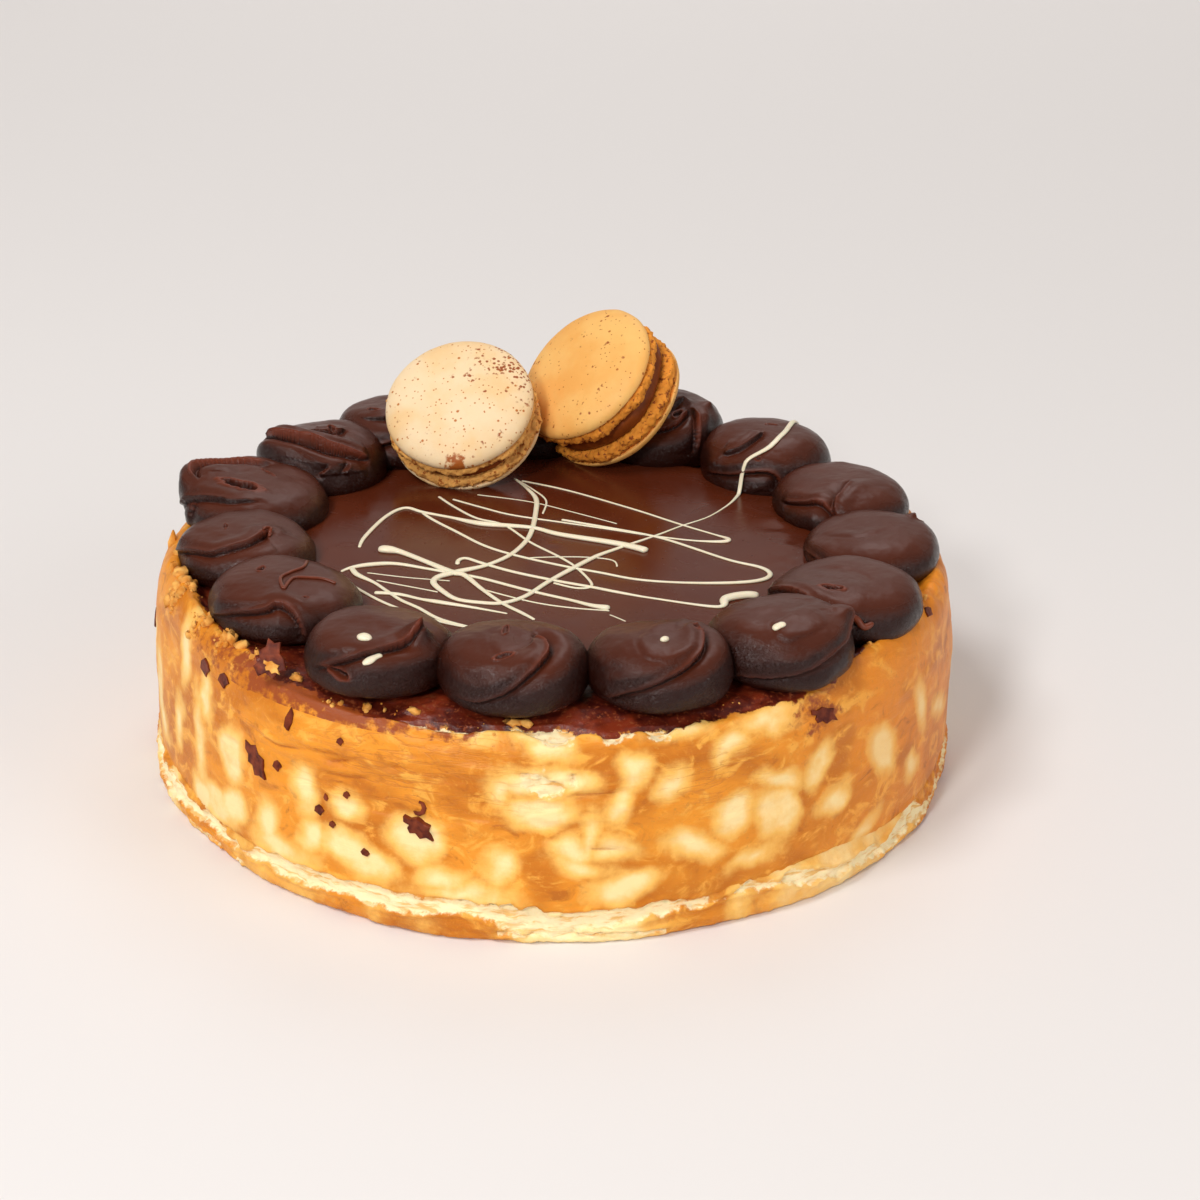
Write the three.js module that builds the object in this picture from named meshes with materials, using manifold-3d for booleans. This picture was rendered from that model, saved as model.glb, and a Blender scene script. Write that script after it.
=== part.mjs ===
// An irish cream cheesecake: a baked cheesecake on a thin biscuit base, topped with a
// poured chocolate ganache, a ring of fifteen piped ganache swirls and two macarons.
// Millimetres, +Z up. The origin is the middle of the face that the cake stands on,
// and the side that is seen first, away from the macarons, faces -Y.
import * as THREE from 'three';
import { mergeVertices } from 'three/addons/utils/BufferGeometryUtils.js';
import Module from 'manifold-3d';

// ---------- driving dimensions ----------
const footRadius = 115; // a 9-inch (230 mm) baking tin
const baseHeight = 9; // biscuit layer
const cakeTop = 57; // flat top, biscuit included
const flatTopRadius = 99.5; // the raised rim begins here
const waistRadius = 112; // the side leans in as the cake shrinks from the tin
const shoulderRadius = 107.6;
const rimRise = 3.2; // raised rim at the sides and back
const frontRimDrop = 3.4; // the rim has torn off and sunk at the front
const frontAngle = -92; // degrees, middle of the torn front rim
const frontSpread = 34; // degrees, half width of the torn stretch

const glazeThickness = 2.4;
const glazeRadius = 77;

const seat = 0.3; // clearance between two pieces that touch

const shellDome = 6.5; // height of a shell's dome above its foot
const domeLip = 0.6; // upright edge below the dome
const domeFullness = 2.3; // 2 is an ellipse, more is a fuller dome

// One row for each piped swirl, round the cake from the front. Angle and reach place its
// middle, in degrees and mm from the axis. Length is along the cake's radius, width across
// it. Start is the heading, from the outward direction, at which the rope turns back over
// its own blob.
const swirls = [
  { angle: -96.5, reach: 89, length: 39, width: 38, height: 16, start: 250 },
  { angle: -73.5, reach: 91, length: 37, width: 37.5, height: 16.5, start: 240 },
  { angle: -52, reach: 92.5, length: 39, width: 38, height: 17, start: 230 },
  { angle: -29.5, reach: 88.5, length: 41, width: 44, height: 13.5, start: 200 },
  { angle: -4, reach: 88.5, length: 38, width: 43, height: 12.5, start: 180 },
  { angle: 19, reach: 88, length: 38.5, width: 42.5, height: 14, start: 170 },
  { angle: 43, reach: 86.5, length: 39, width: 41, height: 17.5, start: 190 },
  { angle: 68.5, reach: 88, length: 40, width: 40, height: 19, start: 150 },
  { angle: 95, reach: 87, length: 38, width: 40, height: 18, start: 170 },
  { angle: 122.5, reach: 91, length: 38, width: 40, height: 18, start: 200 },
  { angle: 142.5, reach: 88, length: 37, width: 41, height: 17, start: 130 },
  { angle: 166, reach: 89, length: 41, width: 45, height: 14, start: 20 },
  { angle: -171, reach: 86, length: 38, width: 42, height: 13, start: 40 },
  { angle: -146, reach: 85, length: 39.5, width: 43.5, height: 13.5, start: 30 },
  { angle: -118.5, reach: 91.5, length: 38.5, width: 38.5, height: 15.5, start: 280 },
];

// Each macaron: its radius and middle, the heading and pitch of its axis in degrees, half
// of the filling's thickness, and the height of the ruffled foot of each shell.
const macarons = {
  cream: {
    radius: 22.4, middle: [-28.2, 56.2, 77.8], heading: -105.2, pitch: 51.8, fillingHalf: 1.8, foot: 3.2,
  },
  orange: {
    radius: 22.9, middle: [13.2, 72.4, 81.6], heading: -143.8, pitch: 44, fillingHalf: 2.9, foot: 4.2,
  },
};

// ---------- closed solids ----------
const wasm = await Module();
wasm.setup();

function weld(geometry) {
  geometry.deleteAttribute('normal');
  geometry.deleteAttribute('uv');
  const welded = mergeVertices(geometry, 1e-4);
  const corners = [];
  const index = welded.index.array;
  for (let i = 0; i < index.length; i += 3) {
    const [a, b, c] = [index[i], index[i + 1], index[i + 2]];
    if (a !== b && b !== c && c !== a) corners.push(a, b, c);
  }
  welded.setIndex(corners);
  return welded;
}

function toSolid(geometry) {
  const welded = weld(geometry);
  return new wasm.Manifold(new wasm.Mesh({
    numProp: 3,
    vertProperties: new Float32Array(welded.attributes.position.array),
    triVerts: new Uint32Array(welded.index.array),
  }));
}

function toGeometry(solid) {
  const mesh = solid.getMesh();
  const geometry = new THREE.BufferGeometry();
  geometry.setAttribute('position', new THREE.BufferAttribute(mesh.vertProperties, 3));
  geometry.setIndex(new THREE.BufferAttribute(mesh.triVerts, 1));
  geometry.computeVertexNormals();
  return geometry;
}

// A turned body whose outline may change with the heading. outline(heading) gives
// [radius, height] pairs from the bottom of the axis to its top.
function turned(outline, segments) {
  const points = outline(0).map(([radius, height]) => new THREE.Vector2(radius, height));
  const geometry = new THREE.LatheGeometry(points, segments);
  const position = geometry.attributes.position;
  const perTurn = points.length;
  for (let i = 0; i < position.count; i += 1) {
    const step = Math.floor(i / perTurn) % segments;
    const heading = (step / segments) * 2 * Math.PI;
    const [radius, height] = outline(heading)[i % perTurn];
    position.setXYZ(i, radius * Math.cos(heading), radius * Math.sin(heading), height);
  }
  return geometry;
}

// A tapering rope: path(t) gives its middle and thickness(t) its half widths,
// [across, upright], with t from 0 to 1.
function rope(path, thickness, sides, steps) {
  const geometry = new THREE.CylinderGeometry(1, 1, 1, sides, steps);
  const position = geometry.attributes.position;
  const up = new THREE.Vector3(0, 0, 1);
  for (let i = 0; i < position.count; i += 1) {
    const t = position.getY(i) + 0.5;
    const middle = path(t);
    const ahead = path(Math.min(t + 0.01, 1)).sub(path(Math.max(t - 0.01, 0))).normalize();
    const across = new THREE.Vector3().crossVectors(up, ahead).normalize();
    const upright = new THREE.Vector3().crossVectors(ahead, across);
    const [wide, tall] = thickness(t);
    middle.addScaledVector(across, position.getX(i) * wide);
    middle.addScaledVector(upright, -position.getZ(i) * tall);
    position.setXYZ(i, middle.x, middle.y, middle.z);
  }
  return geometry;
}

const degrees = (angle) => (angle * Math.PI) / 180;

// 1 in the middle of the torn front rim, 0 away from it
function frontTear(heading) {
  const away = Math.atan2(Math.sin(heading - degrees(frontAngle)), Math.cos(heading - degrees(frontAngle)));
  return Math.exp(-((away / degrees(frontSpread)) ** 4));
}

// ---------- biscuit base ----------
const baseSegments = 56;

function baseOutline(heading) {
  const ragged = 0.5 * Math.sin(6 * heading + 0.6) + 0.4 * Math.sin(14 * heading + 2);
  const edge = footRadius - 0.6 + ragged;
  return [
    [0, 0],
    [footRadius - 2.2, 0],
    [edge, 1.6],
    [edge + 0.3, 5],
    [edge - 0.9, baseHeight],
    [0, baseHeight],
  ];
}

// ---------- cheesecake ----------
const cakeSegments = 56;

function cakeOutline(heading, grow = 0) {
  const tear = frontTear(heading);
  const wave = 0.5 * Math.sin(3 * heading + 1) + 0.35 * Math.sin(8 * heading + 0.4);
  const fold = 0.7 * Math.sin(5 * heading + 2.2);
  const rise = rimRise * (1 - tear) * (1 + 0.25 * Math.sin(6 * heading)) + 0.3;
  const drop = frontRimDrop * tear;
  const shoulder = shoulderRadius - 1.2 * tear;
  const low = baseHeight + seat;
  const outline = [
    [footRadius - 1.4 + wave, low],
    [footRadius - 0.8 + wave, low + 5],
    [footRadius - 2 + wave + 0.3 * fold, 24],
    [waistRadius + wave + 0.5 * fold, 36],
    [waistRadius - 0.9 + wave - 0.5 * fold, 47],
    [shoulder + 2.2 + 0.5 * wave, cakeTop - 2.5 - 0.4 * drop],
    [shoulder + 0.4 * wave, cakeTop + 0.6 * rise - drop],
    [shoulder - 2.6, cakeTop + rise - 0.7 * drop],
    [shoulder - 5.4, cakeTop + 0.45 * rise - 0.25 * drop],
    [flatTopRadius, cakeTop],
  ].map(([radius, height]) => [radius + grow, height + grow]);
  return [[0, low - grow], ...outline, [0, cakeTop + grow]];
}

// ---------- piped swirls ----------
// A plain nozzle lays a fat blob, then the rope turns back over it and ends in the middle.
const blobSides = 12;
const blobRings = 6;
const ropeSides = 6;
const ropeSteps = 9;
const ropeTurn = 310; // degrees that the top coil goes round

// Shares of the swirl's own height or width
const blobHalfHeight = 0.44;
const blobMiddle = 0.34;
const coilReach = 0.26; // half the coil's width where it leaves the blob
const coilTightening = 0.62;
const coilStartHeight = 0.52;
const coilClimb = 0.2;
const coilThickness = 0.28;
const ropeFullness = 0.9;
const tipShare = 0.05; // keeps the rope's two ends from closing to a point

function swirlSolid({ angle, reach, length, width, height, start }, grow = 0) {
  const blob = new THREE.SphereGeometry(1, blobSides, blobRings);
  blob.rotateX(Math.PI / 2);
  blob.scale(length / 2 + grow, width / 2 + grow, blobHalfHeight * height + grow);
  blob.translate(0, 0, blobMiddle * height);

  // the coil tightens and climbs towards the middle
  const coilRadius = (t) => coilReach * (1 - coilTightening * t ** 3);
  const path = (t) => {
    const heading = degrees(start + ropeTurn * t);
    return new THREE.Vector3(
      coilRadius(t) * length * Math.cos(heading),
      coilRadius(t) * width * Math.sin(heading),
      height * (coilStartHeight + coilClimb * t),
    );
  };
  const thickness = (t) => {
    const taper = Math.sqrt(Math.max(1 - (2 * t - 1) ** 6, tipShare));
    return [
      ropeFullness * coilRadius(t) * width * taper + grow,
      coilThickness * height * taper + grow,
    ];
  };
  const coil = rope(path, thickness, ropeSides, ropeSteps);

  return toSolid(blob).add(toSolid(coil))
    .rotate([0, 0, angle])
    .translate([reach * Math.cos(degrees(angle)), reach * Math.sin(degrees(angle)), cakeTop]);
}

// ---------- macarons ----------
const shellSegments = 24;

// The dome of a shell above its foot: a flattened bow, as [radius, height] pairs.
function domeCurve({ radius, foot }, grow = 0) {
  const curve = [0, 0.34, 0.62, 0.84].map((t) => [
    radius * (1 - t ** domeFullness) ** (1 / domeFullness) + grow,
    foot + domeLip + t * (shellDome - domeLip) + grow,
  ]);
  return [...curve, [0, foot + shellDome + grow]];
}

// The shell lies on z = 0 with its ruffled foot down.
function shellOutline(macaron) {
  const { radius, foot } = macaron;
  return (heading) => {
    const ruffle = 0.35 * Math.sin(7 * heading + 1) + 0.2 * Math.sin(11 * heading);
    const skirt = radius - 0.9 + ruffle;
    return [
      [0, 0],
      [skirt - 1.4, 0],
      [skirt + 0.2, 0.45 * foot],
      [skirt - 0.1, 0.85 * foot],
      ...domeCurve(macaron),
    ];
  };
}

function fillingOutline({ radius, fillingHalf }) {
  const half = fillingHalf - seat;
  return (heading) => {
    const bulge = 0.5 * Math.sin(3 * heading) + 0.3 * Math.sin(5 * heading + 1);
    const edge = radius - 2.6 + bulge;
    return [
      [0, -half],
      [edge - 1, -half],
      [edge + 0.3, 0],
      [edge - 1, half],
      [0, half],
    ];
  };
}

// The room that a macaron takes, for the dents it leaves in what it leans on.
function macaronRoom({ radius, middle, fillingHalf, foot }, turn) {
  const upper = domeCurve({ radius, foot: fillingHalf + foot }, seat);
  const lower = upper.map(([edge, height]) => [edge, -height]).reverse();
  const geometry = turned(() => [...lower, ...upper], shellSegments);
  geometry.applyMatrix4(new THREE.Matrix4().compose(
    new THREE.Vector3(...middle), turn, new THREE.Vector3(1, 1, 1),
  ));
  return toSolid(geometry);
}

function macaronTurn({ heading, pitch }) {
  const axis = new THREE.Vector3(
    Math.cos(degrees(pitch)) * Math.cos(degrees(heading)),
    Math.cos(degrees(pitch)) * Math.sin(degrees(heading)),
    Math.sin(degrees(pitch)),
  );
  return new THREE.Quaternion().setFromUnitVectors(new THREE.Vector3(0, 0, 1), axis);
}

// ---------- materials ----------
const finish = (color, roughness) => new THREE.MeshStandardMaterial({ color, roughness, metalness: 0 });
const biscuit = finish(0xd49a4a, 0.9);
const bakedCheese = finish(0xdf9f45, 0.6);
const ganache = finish(0x3b2420, 0.4);
const pouredGanache = finish(0x4a2a1f, 0.2);
const creamShell = finish(0xeed7b0, 0.65);
const orangeShell = finish(0xe0a552, 0.6);
const macaronFilling = finish(0x6b3a1e, 0.5);

// ---------- assembly ----------
const cheesecake = new THREE.Group();

function place(parent, name, geometry, material) {
  const mesh = new THREE.Mesh(geometry, material);
  mesh.name = name;
  parent.add(mesh);
  return mesh;
}

place(cheesecake, 'biscuit_base', weld(turned(baseOutline, baseSegments)), biscuit);
place(cheesecake, 'cheesecake', weld(turned(cakeOutline, cakeSegments)), bakedCheese);

const turns = Object.fromEntries(
  Object.entries(macarons).map(([flavour, row]) => [flavour, macaronTurn(row)]),
);
const macaronSpace = Object.entries(macarons)
  .map(([flavour, row]) => macaronRoom(row, turns[flavour]))
  .reduce((all, room) => all.add(room));

const cakeSpace = toSolid(turned((heading) => cakeOutline(heading, seat), cakeSegments));
let taken = macaronSpace.add(cakeSpace);
swirls.forEach((row, i) => {
  const solid = swirlSolid(row).subtract(taken);
  place(cheesecake, `ganache_swirl_${String(i + 1).padStart(2, '0')}`, toGeometry(solid), ganache);
  taken = taken.add(swirlSolid(row, seat));
});

const glazeSegments = 32;
const glazeOutline = (heading) => {
  const edge = glazeRadius + 1.2 * Math.sin(4 * heading) + 0.8 * Math.sin(9 * heading + 1);
  const low = cakeTop + seat;
  return [[0, low], [edge, low], [edge - 1.5, low + glazeThickness], [0, low + glazeThickness]];
};
const glaze = toSolid(turned(glazeOutline, glazeSegments)).subtract(taken);
place(cheesecake, 'ganache_glaze', toGeometry(glaze), pouredGanache);

for (const [flavour, row] of Object.entries(macarons)) {
  const macaron = new THREE.Group();
  macaron.position.set(...row.middle);
  macaron.quaternion.copy(turns[flavour]);
  const shell = flavour === 'cream' ? creamShell : orangeShell;
  const top = place(macaron, `macaron_${flavour}_top`, weld(turned(shellOutline(row), shellSegments)), shell);
  top.position.z = row.fillingHalf;
  const bottom = place(macaron, `macaron_${flavour}_bottom`, top.geometry.clone(), shell);
  bottom.rotation.x = Math.PI;
  bottom.position.z = -row.fillingHalf;
  const filling = weld(turned(fillingOutline(row), shellSegments));
  place(macaron, `macaron_${flavour}_filling`, filling, macaronFilling);
  cheesecake.add(macaron);
}

export default cheesecake;
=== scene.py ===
# %% [markdown]
# # An irish cream cheesecake
# A baked cheesecake with a chocolate ganache top, a ring of piped ganache swirls, a white
# chocolate drizzle and two macarons. The solids of the cake come first, as a fixed frame that
# says where everything is. Each step below replaces one of them with a finely shaped mesh, or
# adds what is too thin to be a solid. All lengths are written in millimetres.

# %% Loading the frame
import math
import bpy
import numpy as np
from mathutils import Matrix, Vector
from mathutils.bvhtree import BVHTree


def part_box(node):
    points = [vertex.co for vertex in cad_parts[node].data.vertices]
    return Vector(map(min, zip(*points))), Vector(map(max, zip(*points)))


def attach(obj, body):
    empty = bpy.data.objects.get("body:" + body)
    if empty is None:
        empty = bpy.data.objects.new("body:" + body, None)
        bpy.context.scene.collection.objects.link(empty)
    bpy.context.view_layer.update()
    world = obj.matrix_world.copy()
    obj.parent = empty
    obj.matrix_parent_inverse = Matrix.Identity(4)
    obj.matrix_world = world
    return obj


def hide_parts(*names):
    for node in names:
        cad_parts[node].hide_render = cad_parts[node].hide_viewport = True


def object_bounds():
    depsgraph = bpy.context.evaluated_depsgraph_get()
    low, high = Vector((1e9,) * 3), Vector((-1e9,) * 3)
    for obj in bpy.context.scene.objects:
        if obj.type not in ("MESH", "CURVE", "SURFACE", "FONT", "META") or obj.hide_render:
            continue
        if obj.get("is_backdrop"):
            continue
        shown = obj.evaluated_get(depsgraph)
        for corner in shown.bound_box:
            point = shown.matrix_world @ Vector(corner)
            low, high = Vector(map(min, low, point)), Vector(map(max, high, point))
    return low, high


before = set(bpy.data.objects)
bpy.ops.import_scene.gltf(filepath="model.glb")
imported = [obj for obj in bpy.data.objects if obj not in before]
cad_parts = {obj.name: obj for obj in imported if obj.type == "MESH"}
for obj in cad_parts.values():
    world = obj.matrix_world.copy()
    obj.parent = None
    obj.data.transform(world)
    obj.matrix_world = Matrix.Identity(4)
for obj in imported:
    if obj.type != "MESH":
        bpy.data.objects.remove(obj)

cad_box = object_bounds()
MM = 0.001
BODY = "root"
print("nodes:", len(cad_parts))
print("box in mm:", [[round(v / MM, 1) for v in corner] for corner in cad_box])

# %% [markdown]
# ## The camera
# The view looks down on the cake from a little under 24 degrees, with a short telephoto lens.
# Its place was found by fitting circles of known size, the foot and the rim, to the picture.
# Aiming the camera itself, in place of shifting its lens, keeps every other view centred.

# %% Placing the camera
PICTURE_SIDE = 1200
FOCAL_PIXELS = 2421
CAMERA_PLACE = Vector((0.1, -631.3, 319.8)) * MM
AIM_RIGHT, AIM_DOWN, ROLL = (math.radians(angle) for angle in (1.15, 23.7, 1.16))

camera = bpy.data.objects.new("camera", bpy.data.cameras.new("camera"))
bpy.context.scene.collection.objects.link(camera)
bpy.context.scene.camera = camera
camera.data.lens = camera.data.sensor_width * FOCAL_PIXELS / PICTURE_SIDE
ahead = Vector((
    math.sin(AIM_RIGHT) * math.cos(AIM_DOWN),
    math.cos(AIM_RIGHT) * math.cos(AIM_DOWN),
    -math.sin(AIM_DOWN),
))
level = ahead.cross(Vector((0, 0, 1))).normalized()
above = level.cross(ahead)
right = math.cos(ROLL) * level + math.sin(ROLL) * above
up = math.cos(ROLL) * above - math.sin(ROLL) * level
camera.matrix_world = Matrix.LocRotScale(
    CAMERA_PLACE, Matrix((right, up, -ahead)).transposed(), None)
print("lens", round(camera.data.lens, 1), "mm")

# %% [markdown]
# ## Small helpers
# One function turns a colour as a painter reads it into the linear one that light needs. One
# adds a node with its settings and its links, in a material or in Geometry Nodes alike. A
# smooth noise made from whole-number hashes gives the same lumps on every run. A spline draws
# a smooth line through given places.

# %% Helpers for colours, nodes and noise
def linear(colour):
    """'#rrggbb' in sRGB to the linear colour, with alpha, that a socket takes."""
    parts = [int(colour[i:i + 2], 16) / 255 for i in (1, 3, 5)]
    return tuple(p / 12.92 if p <= 0.04045 else ((p + 0.055) / 1.055) ** 2.4 for p in parts) + (1.0,)


def node(tree, kind, inputs=None, **settings):
    """Adds a node. inputs maps an input's name or number to a value or to an output to link."""
    made = tree.nodes.new(kind)
    for name, value in settings.items():
        setattr(made, name, value)
    for key, value in (inputs or {}).items():
        used = [socket for socket in made.inputs if socket.enabled and socket.name == key]
        socket = used[0] if used else made.inputs[key]
        if isinstance(value, bpy.types.NodeSocket):
            tree.links.new(value, socket)
        else:
            socket.default_value = value
    return made


def smooth_noise(points, size, seed=0):
    """Noise from -1 to 1 with lumps about size across, at points of any shape (..., 3)."""
    scaled = points / size
    cell = np.floor(scaled).astype(np.int64)
    part = scaled - cell
    part = part * part * (3 - 2 * part)
    total = np.zeros(points.shape[:-1])
    for corner in np.ndindex(2, 2, 2):
        key = (cell + corner) @ np.array([374761393, 668265263, 1442695041]) + seed * 974634777
        key = (key ^ (key >> 13)) * 1274126177
        key = (key ^ (key >> 16)) & 0xFFFF
        weight = np.prod(np.where(corner, part, 1 - part), axis=-1)
        total += weight * (key / 32767.5 - 1)
    return total


def rough_noise(points, size, octaves=3, seed=0):
    """Layers of smooth noise, each half the size and half the strength of the last."""
    layers = [smooth_noise(points, size / 2 ** i, seed + i) / 2 ** i for i in range(octaves)]
    return sum(layers)


def ramp(low, high, value):
    """0 below low, 1 above high and a smooth step between."""
    part = np.clip((value - low) / (high - low), 0, 1)
    return part * part * (3 - 2 * part)


def angle_from(heading, degrees):
    """How far heading (radians) is from an angle in degrees, in degrees from -180 to 180."""
    return (np.degrees(heading) - degrees + 180) % 360 - 180


def spline(points, places):
    """A smooth curve through points, read at places counted in points from the first one."""
    span = np.minimum(places.astype(int), len(points) - 2)
    t = (places - span).reshape([-1] + [1] * (points.ndim - 1))
    padded = np.concatenate([points[:1], points, points[-1:]])
    a, b, c, d = (padded[span + i] for i in range(4))
    cubic = 3 * (b - c) + d - a
    return 0.5 * (2 * b + (c - a) * t + (2 * a - 5 * b + 4 * c - d) * t ** 2 + cubic * t ** 3)


# %% Helpers that make meshes
def new_object(name, mesh):
    made = bpy.data.objects.new(name, mesh)
    bpy.context.scene.collection.objects.link(made)
    return made


def store(mesh, name, values):
    """Saves one number for each vertex, for materials and node trees to read."""
    mesh.attributes.new(name, "FLOAT", "POINT").data.foreach_set(
        "value", np.ascontiguousarray(values, np.float32).ravel())


def mesh_points(piece):
    flat = np.empty(3 * len(piece.data.vertices), np.float32)
    piece.data.vertices.foreach_get("co", flat)
    return flat.reshape(-1, 3).astype(float) / MM


def move_points(piece, points):
    piece.data.vertices.foreach_set("co", (points * MM).astype(np.float32).ravel())
    piece.data.update()


def turned(outline, around):
    """Rings of points for an outline, (rows, columns, radius and height), at its headings."""
    radius = outline[..., 0]
    return np.stack([radius * np.cos(around), radius * np.sin(around), outline[..., 1]], -1)


def turned_mesh(name, rings, bottom, top, **numbers):
    """A closed body from rings of points, (rows, columns, 3) in mm, and its two poles."""
    rows, columns = rings.shape[:2]
    points = np.concatenate([rings.reshape(-1, 3), [bottom, top]]) * MM
    index = np.arange(rows * columns).reshape(rows, columns)
    after = np.roll(index, -1, axis=1)
    quads = np.stack([index[:-1], after[:-1], after[1:], index[1:]], -1).reshape(-1, 4)
    low_fan = [(rows * columns, b, a) for a, b in zip(index[0], after[0])]
    high_fan = [(rows * columns + 1, a, b) for a, b in zip(index[-1], after[-1])]
    mesh = bpy.data.meshes.new(name)
    mesh.from_pydata(points.tolist(), [], quads.tolist() + low_fan + high_fan)
    mesh.shade_smooth()
    for key, values in numbers.items():
        store(mesh, key, np.append(values.ravel(), [values[0].mean(), values[-1].mean()]))
    return new_object(name, mesh)


def ring_normals(rings):
    """Outward normals of a grid of rings that closes on itself sideways."""
    along = np.roll(rings, -1, axis=1) - np.roll(rings, 1, axis=1)
    upward = np.gradient(rings, axis=0)
    normal = np.cross(along, upward)
    return normal / np.maximum(np.linalg.norm(normal, axis=-1, keepdims=True), 1e-9)


def finish_piece(piece, slot, *nodes):
    """Rides the piece on the cake and hides the solids that it stands for. Its slot is not used."""
    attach(piece, BODY)
    if nodes:
        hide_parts(*nodes)
    print(piece.name, len(piece.data.vertices), "points", len(piece.data.polygons), "faces")


# %% [markdown]
# ## Light and floor
# The picture was taken in soft studio light, brightest from the upper left and the front, on a
# pale warm ground that fades into the background. A softbox from the upper left, one in front
# for the sheen on the ganache, weaker ones on the right and behind, one for the backdrop and a
# dim room do the same. The floor curves up far behind, so no horizon shows.

# %% Building the studio
def softbox(name, place, aim, size, power):
    light = bpy.data.lights.new(name, "AREA")
    light.shape = "DISK"
    light.size = size
    light.energy = power
    lamp = bpy.data.objects.new(name, light)
    lamp.location = place
    lamp.rotation_euler = (Vector(aim) - Vector(place)).to_track_quat("-Z", "Y").to_euler()
    bpy.context.scene.collection.objects.link(lamp)


CAKE_MIDDLE = (0, 0, 0.04)
softbox("key_softbox", (-0.9, -0.7, 1.8), CAKE_MIDDLE, 0.6, 17.2)
softbox("front_softbox", (-0.6, -1.4, 1.0), CAKE_MIDDLE, 0.28, 12.5)
softbox("right_softbox", (1.6, -0.9, 0.9), CAKE_MIDDLE, 1.2, 8.5)
softbox("back_softbox", (0.3, 1.5, 1.9), CAKE_MIDDLE, 1.0, 6)
softbox("backdrop_softbox", (0, 1.8, 2.4), (0, 4.4, 0.3), 1.5, 30)

world = bpy.data.worlds.new("studio")
bpy.context.scene.world = world
world.use_nodes = True
world.node_tree.nodes["Background"].inputs["Color"].default_value = linear("#f4eee8")
world.node_tree.nodes["Background"].inputs["Strength"].default_value = 0.4
bpy.context.scene.view_settings.view_transform = "Standard"

FLOOR_WIDTH, FLOOR_FRONT, FLOOR_BEND, FLOOR_BACK = 60.0, -40.0, 3.0, 5.0
bend = [(FLOOR_FRONT, 0.0)]
for step in range(17):
    angle = step / 16 * math.pi / 2
    radius = FLOOR_BACK - FLOOR_BEND
    bend.append((FLOOR_BEND + radius * math.sin(angle), radius - radius * math.cos(angle)))
bend.append((FLOOR_BACK, 7.0))
floor_points = [(x, y, z) for y, z in bend for x in (-FLOOR_WIDTH / 2, FLOOR_WIDTH / 2)]
floor_faces = [(2 * i, 2 * i + 1, 2 * i + 3, 2 * i + 2) for i in range(len(bend) - 1)]
floor_mesh = bpy.data.meshes.new("floor")
floor_mesh.from_pydata(floor_points, [], floor_faces)
floor_mesh.shade_smooth()
floor = new_object("floor", floor_mesh)
floor_paint = bpy.data.materials.new("matte_pale_ground")
floor_paint.use_nodes = True
floor_paint.node_tree.nodes["Principled BSDF"].inputs["Base Color"].default_value = linear("#e9e5e3")
floor_paint.node_tree.nodes["Principled BSDF"].inputs["Roughness"].default_value = 0.9
floor.data.materials.append(floor_paint)
floor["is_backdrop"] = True
print("studio:", len(bpy.data.lights), "softboxes")

# %% [markdown]
# ## Pieces from node trees
# What follows a path or is scattered is made by Geometry Nodes. A tree gets its sizes through
# named inputs, and the finished mesh is kept as plain geometry, so that nothing in the
# piece is live.

# %% Helpers for node trees and finishes
def new_tree(name, **sizes):
    """A Geometry Nodes tree with one named input for each size, object, material or number."""
    kinds = {float: "NodeSocketFloat", int: "NodeSocketInt"}
    tree = bpy.data.node_groups.new(name, "GeometryNodeTree")
    tree.interface.new_socket("Geometry", in_out="OUTPUT", socket_type="NodeSocketGeometry")
    tree.interface.new_socket("Geometry", in_out="INPUT", socket_type="NodeSocketGeometry")
    for label, size in sizes.items():
        kind = size if isinstance(size, str) else kinds[type(size)]
        socket = tree.interface.new_socket(label.replace("_", " "), in_out="INPUT", socket_type=kind)
        if not isinstance(size, str):
            socket.default_value = size
    return tree, node(tree, "NodeGroupInput").outputs


def close_tree(tree, geometry, finish):
    """Ends a tree: instances become real mesh, smooth and with their finish."""
    real = node(tree, "GeometryNodeRealizeInstances", {"Geometry": geometry}).outputs[0]
    smooth = node(tree, "GeometryNodeSetShadeSmooth", {"Geometry": real}).outputs[0]
    painted = node(tree, "GeometryNodeSetMaterial", {"Geometry": smooth, "Material": finish}).outputs[0]
    node(tree, "NodeGroupOutput", {"Geometry": painted})


def add_tree(piece, tree, **values):
    modifier = piece.modifiers.new(tree.name, "NODES")
    modifier.node_group = tree
    sockets = {item.name: item.identifier for item in tree.interface.items_tree if item.in_out == "INPUT"}
    for label, value in values.items():
        modifier[sockets[label.replace("_", " ")]] = value


def baked(piece):
    """The piece as plain mesh, with its modifiers done and gone."""
    bpy.context.view_layer.update()
    depsgraph = bpy.context.evaluated_depsgraph_get()
    mesh = bpy.data.meshes.new_from_object(
        piece.evaluated_get(depsgraph), preserve_all_data_layers=True, depsgraph=depsgraph)
    name = piece.name
    bpy.data.objects.remove(piece)
    mesh.name = name
    return new_object(name, mesh)


def new_finish(name, **settings):
    """A material, its tree, its shader and its place in the object's own coordinates."""
    finish = bpy.data.materials.new(name)
    finish.use_nodes = True
    tree = finish.node_tree
    shader = tree.nodes["Principled BSDF"]
    for label, value in settings.items():
        shader.inputs[label.replace("_", " ")].default_value = value
    place = node(tree, "ShaderNodeTexCoord").outputs["Object"]
    return finish, tree, shader, place


def per_metre(size):
    """The texture scale whose lumps are size millimetres across."""
    return 1 / (size * MM)


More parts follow.
